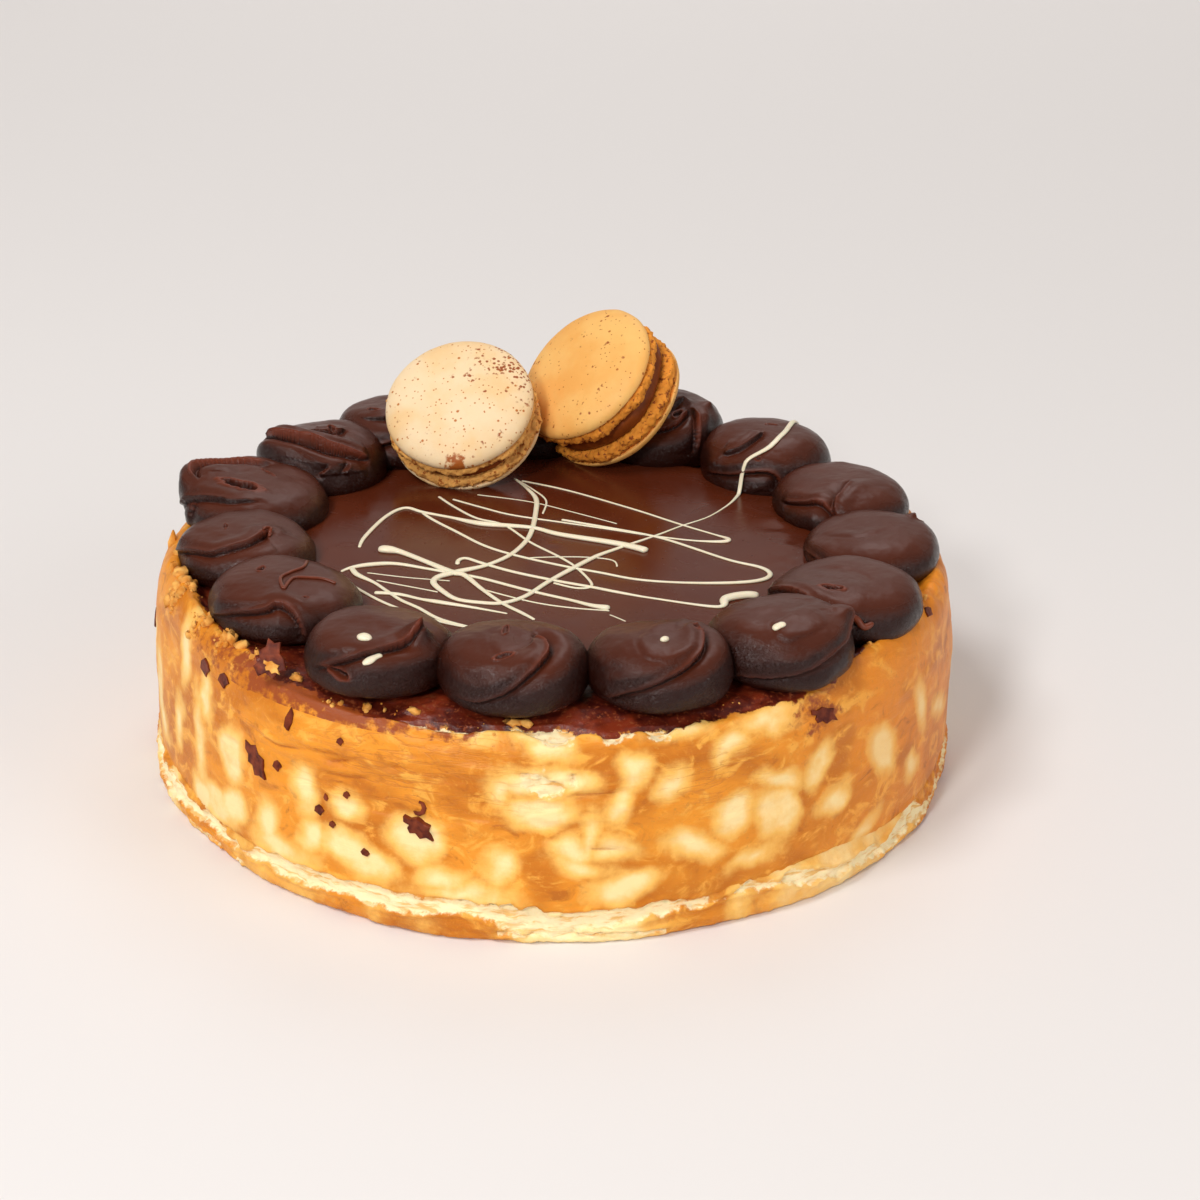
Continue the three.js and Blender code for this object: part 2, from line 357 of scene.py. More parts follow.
def blend(tree, low, high, *steps):
    """Turns one colour to the next where every value is past its edge: (value, from, to)."""
    part = None
    for value, edge_from, edge_to in steps:
        step = node(tree, "ShaderNodeMapRange", {
            "Value": value, "From Min": edge_from, "From Max": edge_to},
            interpolation_type="SMOOTHSTEP").outputs[0]
        part = step if part is None else node(
            tree, "ShaderNodeMath", {0: part, 1: step}, operation="MULTIPLY").outputs[0]
    ends = [linear(colour) if isinstance(colour, str) else colour for colour in (low, high)]
    return node(tree, "ShaderNodeMix", {0: part, 6: ends[0], 7: ends[1]}, data_type="RGBA").outputs[2]


def complete(tree, shader, colour, relief, strength, depth, roughness=None):
    """Gives a shader its colour, its finest relief, depth in mm, and a varying roughness."""
    bump = node(tree, "ShaderNodeBump", {"Height": relief, "Strength": strength, "Distance": depth * MM})
    tree.links.new(colour, shader.inputs["Base Color"])
    tree.links.new(bump.outputs[0], shader.inputs["Normal"])
    if roughness is not None:
        tree.links.new(roughness, shader.inputs["Roughness"])


def clouded_finish(name, low, high, size, detail, strength, depth, tones=(0, 1), **settings):
    """A finish with clouds of two colours, size mm across, that also make its relief."""
    finish, tree, shader, place = new_finish(name, **settings)
    clouds = node(tree, "ShaderNodeTexNoise", {
        "Vector": place, "Scale": per_metre(size), "Detail": detail}).outputs["Fac"]
    tone = node(tree, "ShaderNodeMapRange", {
        "Value": clouds, "From Min": tones[0], "From Max": tones[1]}).outputs[0]
    colour = node(tree, "ShaderNodeMix", {
        0: tone, 6: linear(low), 7: linear(high)}, data_type="RGBA").outputs[2]
    complete(tree, shader, colour, clouds, strength, depth)
    return finish


def pushed_out(tree, geometry, size, depth, seed, roughness):
    """Geometry with each point moved along its normal by noise with lumps of one size."""
    scale = node(tree, "ShaderNodeMath", {0: 1.0, 1: size}, operation="DIVIDE").outputs[0]
    place = node(tree, "GeometryNodeInputPosition").outputs[0]
    lumps = node(tree, "ShaderNodeTexNoise", {
        "Vector": place, "W": seed, "Scale": scale, "Detail": 2.0, "Roughness": roughness,
    }, noise_dimensions="4D").outputs["Fac"]
    centred = node(tree, "ShaderNodeMath", {0: lumps, 1: 0.5}, operation="SUBTRACT").outputs[0]
    push = node(tree, "ShaderNodeMath", {0: centred, 1: depth}, operation="MULTIPLY").outputs[0]
    normal = node(tree, "GeometryNodeInputNormal").outputs[0]
    offset = node(tree, "ShaderNodeVectorMath", {0: normal, "Scale": push}, operation="SCALE").outputs[0]
    return node(tree, "GeometryNodeSetPosition", {"Geometry": geometry, "Offset": offset}).outputs[0]


# %% [markdown]
# ## Finish of the baked cheesecake
# The side was baked against a tin, so it is amber where it browned, with cream-coloured ovals
# where steam kept the batter off the metal. Where the crust tore away, the pale crumb inside
# shows. The top baked to a thin, dark and glossy red-brown skin. The mesh says where each of
# these lies, in millimetres inside its edge, and the material makes that edge ragged.

# %% Material: oven-browned cheesecake
def browned_cheesecake(name, coarse):
    """Set custard with a baked crust: waxy, a little translucent, dull where it is torn."""
    finish, tree, shader, place = new_finish(
        name, IOR=1.45, Specular_IOR_Level=0.35, Subsurface_Weight=0.12, Subsurface_Scale=0.004)
    shader.inputs["Subsurface Radius"].default_value = (1.0, 0.55, 0.25)

    def noise(size, detail, stretch=(1, 1, 1), **settings):
        stretched = node(tree, "ShaderNodeMapping", {"Vector": place, "Scale": stretch}).outputs[0]
        return node(tree, "ShaderNodeTexNoise", {
            "Vector": stretched, "Scale": per_metre(size), "Detail": detail, **settings}).outputs["Fac"]

    clouds = noise(26, 3, (1, 1, 1.5), Distortion=0.6)
    patches = noise(9, 5, (1, 1, 1.5), Roughness=0.58, Distortion=0.9)
    grain = noise(1.2, 4, Roughness=0.7)
    drawn = noise(3.2, 4, (0.45, 0.45, 2.6), Roughness=0.6, Distortion=0.5)

    def ragged(attribute, wobble, size):
        """How far inside an edge a place lies, in mm, with that edge roughened."""
        inside = node(tree, "ShaderNodeAttribute", attribute_name=attribute).outputs["Fac"]
        shifted = node(tree, "ShaderNodeMath", {0: noise(size, 4, Roughness=0.6), 1: 0.5},
                       operation="SUBTRACT").outputs[0]
        return node(tree, "ShaderNodeMath", {0: shifted, 1: wobble, 2: inside},
                    operation="MULTIPLY_ADD").outputs[0]

    crust = blend(tree, "#c87315", "#ea9528", (clouds, 0.36, 0.62))
    crust = blend(tree, crust, "#f4ae46", (patches, 0.50, 0.68))
    crust = blend(tree, "#bb6a18", crust, (patches, 0.28, 0.44))
    crust = blend(tree, "#d58c30", crust, (grain, 0.26, 0.46))
    oval = ragged("pale", 3.6, 5.0)
    crust = blend(tree, crust, "#f7bf60", (oval, -2.4, 0.4))
    crust = blend(tree, crust, "#ffe2a4", (oval, -0.4, 2.6))
    # Painted shade with real browning: the crust turns browner towards the right, partly deeper browning
    # and partly shade on the side away from the key light.
    sides = node(tree, "ShaderNodeSeparateXYZ", {0: place}).outputs["X"]
    right_browning_and_shade = node(tree, "ShaderNodeMath", {0: sides, 1: clouds}, operation="MULTIPLY").outputs[0]
    darker = node(tree, "ShaderNodeMix", {
        0: 1.0, 6: crust, 7: linear("#fbecd8")}, data_type="RGBA", blend_type="MULTIPLY").outputs[2]
    crust = blend(tree, crust, darker, (right_browning_and_shade, 20 * MM, 55 * MM))
    crinkles = node(tree, "ShaderNodeAttribute", attribute_name="crinkle").outputs["Fac"]
    off_line = node(tree, "ShaderNodeMath", {
        0: node(tree, "ShaderNodeMath", {0: noise(6, 3, (0.4, 0.4, 2.2), Distortion=1.0), 1: 0.5},
                operation="SUBTRACT").outputs[0]}, operation="ABSOLUTE").outputs[0]
    on_line = node(tree, "ShaderNodeMapRange", {
        "Value": off_line, "From Min": 0.06, "From Max": 0.0}, interpolation_type="SMOOTHSTEP").outputs[0]
    crinkle = node(tree, "ShaderNodeMath", {0: on_line, 1: crinkles}, operation="MULTIPLY").outputs[0]
    # Painted shade: the crinkle lines are painted a darker orange, for the shade in their grooves.
    crust = blend(tree, crust, "#c9792a", (crinkle, 0.2, 1.8))
    # Painted shade: the crust is painted darker along the bottom of each crease.
    crease = ragged("crease", 0.6, 2.0)
    crust = blend(tree, crust, "#ac5419", (crease, 0.6, 1.6))
    torn = ragged("torn", 3.0, 2.4)
    crumb = blend(tree, "#edbd72", "#ffebbc", (drawn, 0.34, 0.52))
    crust = blend(tree, crust, crumb, (torn, -0.35, 0.35))
    smear = ragged("smear", 9.0, 3.2)
    crust = blend(tree, crust, "#9c4a1c", (smear, -0.4, 1.6))
    skin = ragged("skin", 3.6, 3.0)
    glaze = blend(tree, "#42100a", "#7c2c14", (patches, 0.36, 0.66))
    glaze = blend(tree, "#8a4527", glaze, (grain, 0.34, 0.46))
    crust = blend(tree, crust, glaze, (skin, -0.15, 0.35))

    dull = node(tree, "ShaderNodeMapRange", {
        "Value": torn, "From Min": -0.3, "From Max": 0.5, "To Min": 0.44, "To Max": 0.8}).outputs[0]
    gloss = node(tree, "ShaderNodeMapRange", {
        "Value": skin, "From Min": -0.2, "From Max": 0.6, "To Min": 1.0, "To Max": 0.72}).outputs[0]
    satin = node(tree, "ShaderNodeMath", {0: dull, 1: gloss}, operation="MULTIPLY").outputs[0]

    pitted = node(tree, "ShaderNodeMix", {0: coarse, 2: patches, 3: grain}).outputs[0]
    pitted = node(tree, "ShaderNodeMix", {0: 0.2, 2: pitted, 3: drawn}).outputs[0]
    pitted = node(tree, "ShaderNodeMath", {
        0: crinkle, 1: -0.16, 2: pitted}, operation="MULTIPLY_ADD").outputs[0]
    complete(tree, shader, crust, pitted, 0.6, 0.8, satin)
    return finish


CHEESECAKE_FINISH = browned_cheesecake("oven_browned_cheesecake", 0.35)
print("made", CHEESECAKE_FINISH.name)

# %% [markdown]
# ## The cheesecake's body
# A cake baked in a round tin and then shrunk from it: the side leans in, folds and crinkles,
# and its rim stands up except at the front, where it tore off. A turned outline gives the
# large form. Moving each point along its own normal then adds what the oven did. A grid of
# points worked out with numpy is used because each fold has its own measured place.

# %% The outline, turned
BASE_HEIGHT = round(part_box("biscuit_base")[1][2] / MM, 1)
CAKE_TOP = round(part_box("ganache_glaze")[0][2] / MM - 0.3, 1)
FOOT_RADIUS = 115
FLAT_TOP_RADIUS = 99.5
WAIST_RADIUS = 112
SHOULDER_RADIUS = 107.6
RIM_RISE = 3.2
FRONT_RIM_DROP = 3.4
FRONT_ANGLE = -95
FRONT_SPREAD = 45
HEADINGS = 720
SIDE_ROWS = 124
print("biscuit", BASE_HEIGHT, "mm high, top at", CAKE_TOP, "mm")


def foot_slump(heading):
    """How far the foot sagged outwards at the front, and was drawn in elsewhere, in mm."""
    return 3.2 * np.exp(-(angle_from(heading, FRONT_ANGLE) / 36) ** 2) - 1.5


def cake_outline(heading):
    """Radius and height of each corner of the outline, at each heading."""
    tear = np.exp(-(angle_from(heading, FRONT_ANGLE) / FRONT_SPREAD) ** 4)
    wave = 0.5 * np.sin(3 * heading + 1) + 0.35 * np.sin(8 * heading + 0.4)
    fold = 0.7 * np.sin(5 * heading + 2.2)
    rise = RIM_RISE * (1 - tear) * (1 + 0.25 * np.sin(6 * heading)) + 0.3
    drop = FRONT_RIM_DROP * tear
    shoulder = SHOULDER_RADIUS - 1.2 * tear
    low = BASE_HEIGHT + 0.3
    level = np.zeros_like(heading)
    slump = foot_slump(heading)
    corners = [
        (FOOT_RADIUS - 1.4 + wave + slump, low + level),
        (FOOT_RADIUS - 1.2 + wave + 0.8 * slump, low + 5 + level),
        (FOOT_RADIUS - 2.2 + wave + 0.3 * fold + 0.3 * slump, 24 + level),
        (WAIST_RADIUS + wave + 0.5 * fold, 36 + level),
        (WAIST_RADIUS - 0.9 + wave - 0.5 * fold, 47 + level),
        (shoulder + 2.2 + 0.5 * wave, CAKE_TOP - 2.5 - 0.4 * drop),
        (shoulder + 0.4 * wave, CAKE_TOP + 0.6 * rise - drop),
        (shoulder - 2.6, CAKE_TOP + rise - 0.7 * drop),
        (shoulder - 5.4, CAKE_TOP + 0.45 * rise - 0.25 * drop),
        (FLAT_TOP_RADIUS + level, CAKE_TOP + level),
    ]
    return np.array(corners).transpose(0, 2, 1)


def through(corners, rows):
    """A smooth curve through the corners, in rows of equal length."""
    lengths = np.linalg.norm(np.diff(corners.mean(1), axis=0), axis=1)
    along = np.concatenate([[0], np.cumsum(lengths)])
    return spline(corners, np.interp(np.linspace(0, along[-1], rows), along, np.arange(len(along))))


heading = np.linspace(-np.pi, np.pi, HEADINGS, endpoint=False)
side = through(cake_outline(heading), SIDE_ROWS)
low_rim, top_rim = side[0], side[-1]
underside = [low_rim * (share, 1) for share in (0.5, 0.8, 0.95, 0.985)]
top = [top_rim * (share, 1) for share in (0.985, 0.97, 0.955, 0.94, 0.92, 0.9, 0.87, 0.8, 0.6, 0.3)]
outline = np.concatenate([underside, side, top])
rings = turned(outline, heading)
print("grid of", outline.shape[:2], "points")

# %% [markdown]
# Creases run along the side where the soft cake sagged. Each is a line of places, in degrees
# round the cake and in millimetres of height. The skin bulges above the line and is drawn in
# under it.

# %% Creases and crinkles
MM_PER_DEGREE = math.radians(WAIST_RADIUS)
creases = [
    [(-132.8, 42.3), (-128.2, 40.5), (-122.9, 42.4), (-118.6, 43)],
    [(-124.1, 43.8), (-119.6, 40.6), (-116.5, 42.3)],
    [(-120.6, 37.3), (-117.4, 37.5), (-113.9, 38.6)],
    [(-116, 42.3), (-112.5, 41.9), (-110.1, 43.3)],
    [(-87, 39.9), (-83.5, 40.1), (-80.9, 40.7)],
    [(-85.2, 25.6), (-82.1, 25.3), (-80.4, 24.2)],
    [(80, 33), (88, 35), (96, 34.5)],
    [(140, 42), (148, 40.5), (155, 41)],
]
CREASE_WIDTH = 0.7
CREASE_DEPTH = 0.6

degrees_round = np.degrees(heading)[None, :] + 0 * outline[..., 0]
across = degrees_round * MM_PER_DEGREE
radius, height = outline[..., 0], outline[..., 1]


def gap_above(line):
    """Distance in mm to a line on the side, and whether a place is above it."""
    best = np.full(across.shape, 1e9)
    above_it = np.zeros(across.shape, bool)
    points = np.array(line) * (MM_PER_DEGREE, 1)
    for (x0, z0), (x1, z1) in zip(points[:-1], points[1:]):
        dx, dz = x1 - x0, z1 - z0
        t = np.clip(((across - x0) * dx + (height - z0) * dz) / (dx * dx + dz * dz), 0, 1)
        off_x, off_z = across - x0 - t * dx, height - z0 - t * dz
        gap = np.hypot(off_x, off_z)
        above_it = np.where(gap < best, off_z * dx - off_x * dz > 0, above_it)
        best = np.minimum(best, gap)
    return best, above_it


on_side = ramp(10, 16, height) * ramp(FLAT_TOP_RADIUS + 4, FLAT_TOP_RADIUS + 9, radius)
relief = on_side * 0.55 * rough_noise(rings, 22, 2, seed=3)
flat_lumps = rings * (1, 1, 3.2)
crinkled = np.exp(-(angle_from(heading, -104) / 36) ** 2) + 0.3
crinkled = crinkled * ramp(20, 30, height) * (1 - ramp(49, 54, height))
relief += on_side * 0.42 * crinkled * rough_noise(flat_lumps, 9, 3, seed=8)
crinkle = np.exp(-(angle_from(heading, -110) / 17) ** 2) * ramp(28, 36, height) * (1 - ramp(54, 58, height))
crinkle += np.exp(-(angle_from(heading, -69) / 8) ** 2) * np.exp(-((height - 41) / 9) ** 2)
crinkle = on_side * (crinkle + 0.15)
# This mask marks the bottom of each crease, where the material paints shade.
crease = np.zeros(across.shape)
for line in creases:
    gap, above_it = gap_above(line)
    groove = -CREASE_DEPTH * np.exp(-(gap / CREASE_WIDTH) ** 2)
    lip = 0.5 * CREASE_DEPTH * np.exp(-((gap - 2.2 * CREASE_WIDTH) / (1.6 * CREASE_WIDTH)) ** 2)
    worn = ramp(-0.7, 0.5, smooth_noise(rings, 6, seed=17))
    relief += on_side * worn * (groove + np.where(above_it, lip, 0))
    crease = np.maximum(crease, on_side * worn * 1.2 * np.exp(-(gap / 0.6) ** 2))
print("creases:", len(creases), "relief from", relief.min().round(2), "to", relief.max().round(2), "mm")

# %% [markdown]
# The pale ovals are where the batter didn't touch the tin. Each row gives a place in degrees
# and millimetres, a width, a height and a tilt. Those at the back, which nobody measured, are
# drawn by lot. A mark is stored as the distance inside its edge, in millimetres, so a place
# that it can't reach gets a distance far outside.

# %% Pale ovals
FAR_OUTSIDE = -9.0
ovals = [
    (-154, 28, 5, 13, 0), (-146.5, 28, 5, 22, 5), (-137.5, 31, 11, 13, 0), (-137, 17, 10, 9, 0),
    (-146, 13, 12, 11, 0), (-123, 30.5, 6, 14, 8), (-116.5, 30, 9, 7, 0), (-130, 18, 8, 13, 0),
    (-116, 18, 16, 8, -10), (-107.5, 25.5, 13, 12, 0), (-113, 15, 12, 7, 0), (-97, 41.5, 5, 9, 0),
    (-92, 35, 18, 9, 0), (-85, 29, 4, 9, 0), (-88, 25.5, 11, 7, 0), (-81, 16, 14, 7, 12),
    (-97, 20.5, 6, 8, 0), (-104, 16, 10, 6, 0), (-121.5, 19, 7, 7, 0), (-82, 26, 8, 4, 0),
    (-100, 56, 13, 5, 0), (-92, 56.5, 15, 8, 0), (-90, 52, 10, 7, 0), (-94, 44, 12, 7, 0),
    (-88.5, 43, 13, 7, 0), (-80, 46, 8, 6, 0), (-81.5, 37, 6, 12, -15), (-66, 30, 12, 9, 25),
    (-59.5, 27, 11, 13, 20), (-72.5, 24, 13, 7, -15), (-59, 36.5, 11, 6, -20), (-52.5, 37.5, 6, 11, -30),
    (-50.5, 25, 11, 6, 15), (-39, 32, 12, 15, 35), (-28.5, 37.5, 6, 13, 15), (-63.5, 17, 11, 4, 10),
    (-86.5, 21, 13, 5, -10), (-66.5, 48, 9, 6, 0), (-44.5, 12.5, 11, 4, 20), (-32, 21, 6, 7, 0),
    (-75, 41.5, 7, 6, 0), (-73.5, 54, 13, 4, 0), (-61, 52, 13, 4, 0), (-152, 50, 7, 18, 0),
    (-144, 42, 7, 11, 0), (-165, 30, 10, 20, 0), (-142, 14, 22, 10, 0), (-127, 12.5, 20, 7, 0),
    (-101, 12.5, 18, 5, 0),
]
chance = np.random.default_rng(11)
for place in np.arange(-18, 198, 6.5):
    ovals.append((
        (place + chance.uniform(-3, 3) + 180) % 360 - 180, chance.uniform(14, 44),
        chance.uniform(6, 16), chance.uniform(5, 15), chance.uniform(-30, 30)))

drift = 2.4 * rough_noise(rings, 11, 2, seed=12)
rise = 2.0 * rough_noise(rings, 8, 2, seed=14)
pale = np.full(across.shape, FAR_OUTSIDE)
for turned_to, middle, wide, tall, tilt in ovals:
    u = angle_from(heading, turned_to)[None, :] * MM_PER_DEGREE + drift
    v = height - middle + rise
    c, s = math.cos(math.radians(tilt)), math.sin(math.radians(tilt))
    reach = np.hypot((u * c + v * s) / (wide / 2), (v * c - u * s) / (tall / 2))
    strength = chance.uniform(1.2, 3.6)
    pale = np.maximum(pale, np.minimum((1 - reach) * min(wide, tall) / 2, strength))
pale = np.where(radius > FLAT_TOP_RADIUS + 5, pale, FAR_OUTSIDE)
relief -= 0.15 * ramp(-0.5, 2.0, pale)
print("ovals:", len(ovals))

# %% [markdown]
# The crust has torn away in three places: in a wavy seam just above the biscuit, in a strip
# under the front edge of the top, and in a patch below that. Torn custard is coarse and lies
# deeper than the crust round it.

# %% The torn seam above the biscuit
SEAM_DEPTH = 1.5
SEAM_HEADINGS = [
    -180, -154, -134, -116, -108, -99, -95, -88, -81, -75, -69, -64, -56, -48, -41, -32, -20, 0, 180]
SEAM_TOPS = [10, 9.9, 9.4, 10.4, 11, 9.8, 12.8, 9.9, 9.4, 10.5, 9.5, 12, 9.4, 6.6, 6, 9.4, 7.7, 10, 10]
SEAM_FEET = [5, 4.3, 5.4, 5.1, 5.7, 6.6, 2, 2.2, 4, 6.9, 6.8, 7.1, 5.7, 3.4, 2, 2, 2.4, 5, 5]


def seam_wave(places, seed):
    """A ragged line round the cake: the same at every height of a place."""
    ring = places * (1, 1, 0)
    return 0.8 * rough_noise(ring, 13, 2, seed) + 0.8 * rough_noise(ring, 3.5, 2, seed + 5)


round_cake = np.stack([110 * np.cos(heading), 110 * np.sin(heading), 0 * heading], -1)
covered = 2.2 * ramp(0.0, 0.7, rough_noise(round_cake, 10, 2, seed=33))
seam_top = np.interp(degrees_round[0], SEAM_HEADINGS, SEAM_TOPS) - 0.3 - covered
seam_foot = np.interp(degrees_round[0], SEAM_HEADINGS, SEAM_FEET) + 0.4
seam_edge = seam_top + seam_wave(rings, seed=21)
torn = np.where(radius > FOOT_RADIUS - 8, seam_edge - height, FAR_OUTSIDE)
print("seam from", seam_foot.min().round(1), "to", seam_top.max().round(1), "mm above the foot")

# %% [markdown]
# The dark skin of the top ends in a wavy edge, near the rim. Its radius is given at headings
# where the edge turns. A reddish smear of it ran over the rim at the left of the front, and a
# spot of it lies on the side at the right.

# %% The dark skin and the reddish smear
SKIN_HEADINGS = [
    -180, -150, -138, -124, -115, -105, -98, -91, -82, -73, -59, -51, -46, -38, -25, 30, 45, 70, 180]
SKIN_RADII = [
    103, 103, 106, 107, 107.6, 107.4, 106.3, 105.6, 106.6, 107.8, 107.4, 107.8, 106.5, 104, 97, 96,
    100, 103, 103]
skin_edge = np.interp(degrees_round, SKIN_HEADINGS, SKIN_RADII)
skin_edge = skin_edge + 1.5 * rough_noise(rings * (1, 1, 0.3), 7, 3, seed=30)
skin = np.where(height > CAKE_TOP - 5, skin_edge - radius, FAR_OUTSIDE)

SMEAR_HEADING, SMEAR_SPREAD, SMEAR_RADIUS = -124, 24, 107.5
smear_across = angle_from(heading, SMEAR_HEADING)[None, :] / SMEAR_SPREAD
smear_gap = np.hypot(smear_across, (radius - SMEAR_RADIUS) / 4)
smear = np.where(height > CAKE_TOP - 6, (1 - smear_gap) * 3.4, FAR_OUTSIDE)
SPOT_HEADING, SPOT_HEIGHT = -52.5, 51
spot_across = angle_from(heading, SPOT_HEADING)[None, :] * MM_PER_DEGREE
smear = np.maximum(smear, (1 - np.hypot(spot_across / 6, (height - SPOT_HEIGHT) / 4)) * 1.5)
print("skin on", (skin > 0).mean().round(3), "of the grid, smear on", (smear > 0).mean().round(3))

# %% The torn strip and patch at the front
STRIP_HEADING, STRIP_SPREAD, STRIP_REACH = -91, 20, 3.4
front = np.exp(-(angle_from(heading, STRIP_HEADING) / STRIP_SPREAD) ** 6)[None, :]
strip_reach = STRIP_REACH * (0.75 + 0.6 * rough_noise(rings, 9, 2, seed=41)) * front
past_skin = np.hypot(np.maximum(radius - skin_edge, 0), np.maximum(CAKE_TOP - 4 - height, 0))
strip = np.where((height > 44) & (skin < 0.4), strip_reach - past_skin - 2 * (1 - front), FAR_OUTSIDE)

PATCH_HEADING, PATCH_HEIGHT, PATCH_HALF_WIDTH, PATCH_HALF_HEIGHT = -91, 42.5, 12.5, 4.2
patch_across = angle_from(heading, PATCH_HEADING)[None, :] * MM_PER_DEGREE
patch_gap = np.hypot(patch_across / PATCH_HALF_WIDTH, (height - PATCH_HEIGHT) / PATCH_HALF_HEIGHT)
patch = (0.6 - patch_gap + 0.75 * rough_noise(rings, 5, 3, seed=52)) * 4
torn = np.maximum(np.maximum(torn, strip), patch)
print("torn share of the grid:", (torn > 0).mean().round(3))

# %% Relief of the torn places and the rim
RIM_RADIUS, RIM_SPREAD = 104, 4.5
relief -= SEAM_DEPTH * ramp(-0.1, 0.6, torn)
relief += 0.5 * np.exp(-((torn + 0.7) / 0.6) ** 2)
relief += 0.65 * ramp(-0.3, 0.4, torn) * rough_noise(rings, 2.4, 3, seed=60)
rim = np.exp(-((radius - RIM_RADIUS) / RIM_SPREAD) ** 2) * ramp(CAKE_TOP - 4, CAKE_TOP - 1, height)
relief += 0.75 * rim * rough_noise(rings, 5, 3, seed=70)
relief += 0.25 * ramp(0, 0.8, skin) * rough_noise(rings, 3.5, 2, seed=75)
relief[:len(underside)] = 0
print("relief from", relief.min().round(2), "to", relief.max().round(2), "mm")

# %% Making the body
shaped = rings + ring_normals(rings) * relief[..., None]
body = turned_mesh(
    "baked_cheesecake", shaped, (0, 0, BASE_HEIGHT + 0.3), (0, 0, CAKE_TOP),
    pale=pale, torn=torn, skin=skin, smear=smear, crease=crease, crinkle=crinkle)
body.data.materials.append(CHEESECAKE_FINISH)
finish_piece(body, "baked_cheesecake", "cheesecake")

# %% [markdown]
# ## The biscuit base
# Crushed biscuit pressed into the tin and baked: a golden, flaky band. Its upper half broke
# away with the crust above, so pale custard shows between the two as a ragged ribbon. The
# grid gives the band, and a small node tree pushes each point out by noise of two crumb
# sizes. The same tree will roughen the feet of the macarons, because a number on the mesh
# says how much of the relief each point takes.

# %% Node tree: crumbly relief
def crumbly_relief():
    tree, given = new_tree(
        "crumbly relief", Crumb_Size=0.002, Depth=0.001, Seed=1.0, Finish="NodeSocketMaterial")
    share = node(tree, "GeometryNodeInputNamedAttribute", {"Name": "crumbly"}, data_type="FLOAT").outputs[0]
    depth = node(tree, "ShaderNodeMath", {0: given["Depth"], 1: share}, operation="MULTIPLY").outputs[0]
    moved = pushed_out(tree, given["Geometry"], given["Crumb Size"], depth, given["Seed"], 0.6)
    close_tree(tree, moved, given["Finish"])
    return tree


CRUMBLY_RELIEF = crumbly_relief()
print("made", CRUMBLY_RELIEF.name)

# %% Making the base
BISCUIT_FINISH = browned_cheesecake("golden_biscuit_crust", 0.7)
ragged_edge = 0.5 * np.sin(6 * heading + 0.6) + 0.4 * np.sin(14 * heading + 2)
edge_radius = FOOT_RADIUS - 0.6 + ragged_edge + foot_slump(heading)
level = np.zeros_like(heading)
band = through(np.array([
    (edge_radius - 1.4, level),
    (edge_radius - 0.2, 1.0 + level),
    (edge_radius + 0.3, 3.0 + level),
    (edge_radius + 0.1, 5.6 + level),
    (edge_radius - 0.4, BASE_HEIGHT - 0.4 + level),
    (edge_radius - 1.8, BASE_HEIGHT + 2.4 + level),
]).transpose(0, 2, 1), 42)
low_cap = [band[0] * (share, 1) for share in (0.5, 0.9)]
high_cap = [band[-1] * (share, 1) for share in (0.96, 0.9, 0.5)]
band = np.concatenate([low_cap, band, high_cap])
base_rings = turned(band, heading)
outer = ramp(FOOT_RADIUS - 12, FOOT_RADIUS - 3, band[..., 0]) * ramp(0.0, 0.8, band[..., 1])
above_foot = band[..., 1] - seam_foot - seam_wave(base_rings, seed=31)
under_top = seam_top + seam_wave(base_rings, seed=21) - band[..., 1]
base_torn = np.minimum(above_foot, under_top)
second_here = ramp(0.0, 0.4, rough_noise(base_rings * (1, 1, 0), 24, 2, seed=81))
second_height = 2.2 + 0.9 * seam_wave(base_rings, seed=82)
second = np.where(second_here > 0.3, 0.7 - np.abs(band[..., 1] - second_height), FAR_OUTSIDE)
base_torn = np.maximum(base_torn, second)
base_relief = -0.9 * ramp(-0.1, 0.6, base_torn) + 0.5 * np.exp(-((base_torn + 0.7) / 0.6) ** 2)
base_relief += 0.55 * ramp(-0.3, 0.4, base_torn) * rough_noise(base_rings, 2.4, 3, seed=83)
base_rings = base_rings + ring_normals(base_rings) * (outer * base_relief)[..., None]
base_pale = 5 * rough_noise(base_rings * (1, 1, 0), 16, 2, seed=84) - 1.5
base_pale = np.maximum(base_pale, 5 * np.exp(-(angle_from(heading, -86) / 9) ** 4)[None, :] - 2.5)
never = np.full(base_torn.shape, FAR_OUTSIDE)
base = turned_mesh(
    "biscuit_crumb_base", base_rings, (0, 0, 0), (0, 0, BASE_HEIGHT), crumbly=outer,
    pale=base_pale, torn=base_torn, skin=never, smear=never, crease=never, crinkle=0.3 * outer)
add_tree(base, CRUMBLY_RELIEF, Crumb_Size=6 * MM, Depth=2.0 * MM, Seed=1.0, Finish=BISCUIT_FINISH)
add_tree(base, CRUMBLY_RELIEF, Crumb_Size=1.8 * MM, Depth=1.0 * MM, Seed=2.0, Finish=BISCUIT_FINISH)
base = baked(base)
settled = mesh_points(base)
settled[:, 2] = np.maximum(settled[:, 2], 0)
move_points(base, settled)
finish_piece(base, "biscuit", "biscuit_base")

# %% [markdown]
# ## The poured ganache
# Warm ganache poured on the middle of the cake runs level and sets with a soft shine. It is
# almost flat, with a faint swell and a few ripples where it met the piped swirls. A disc of
# rings gives it, because only a very small relief is needed.

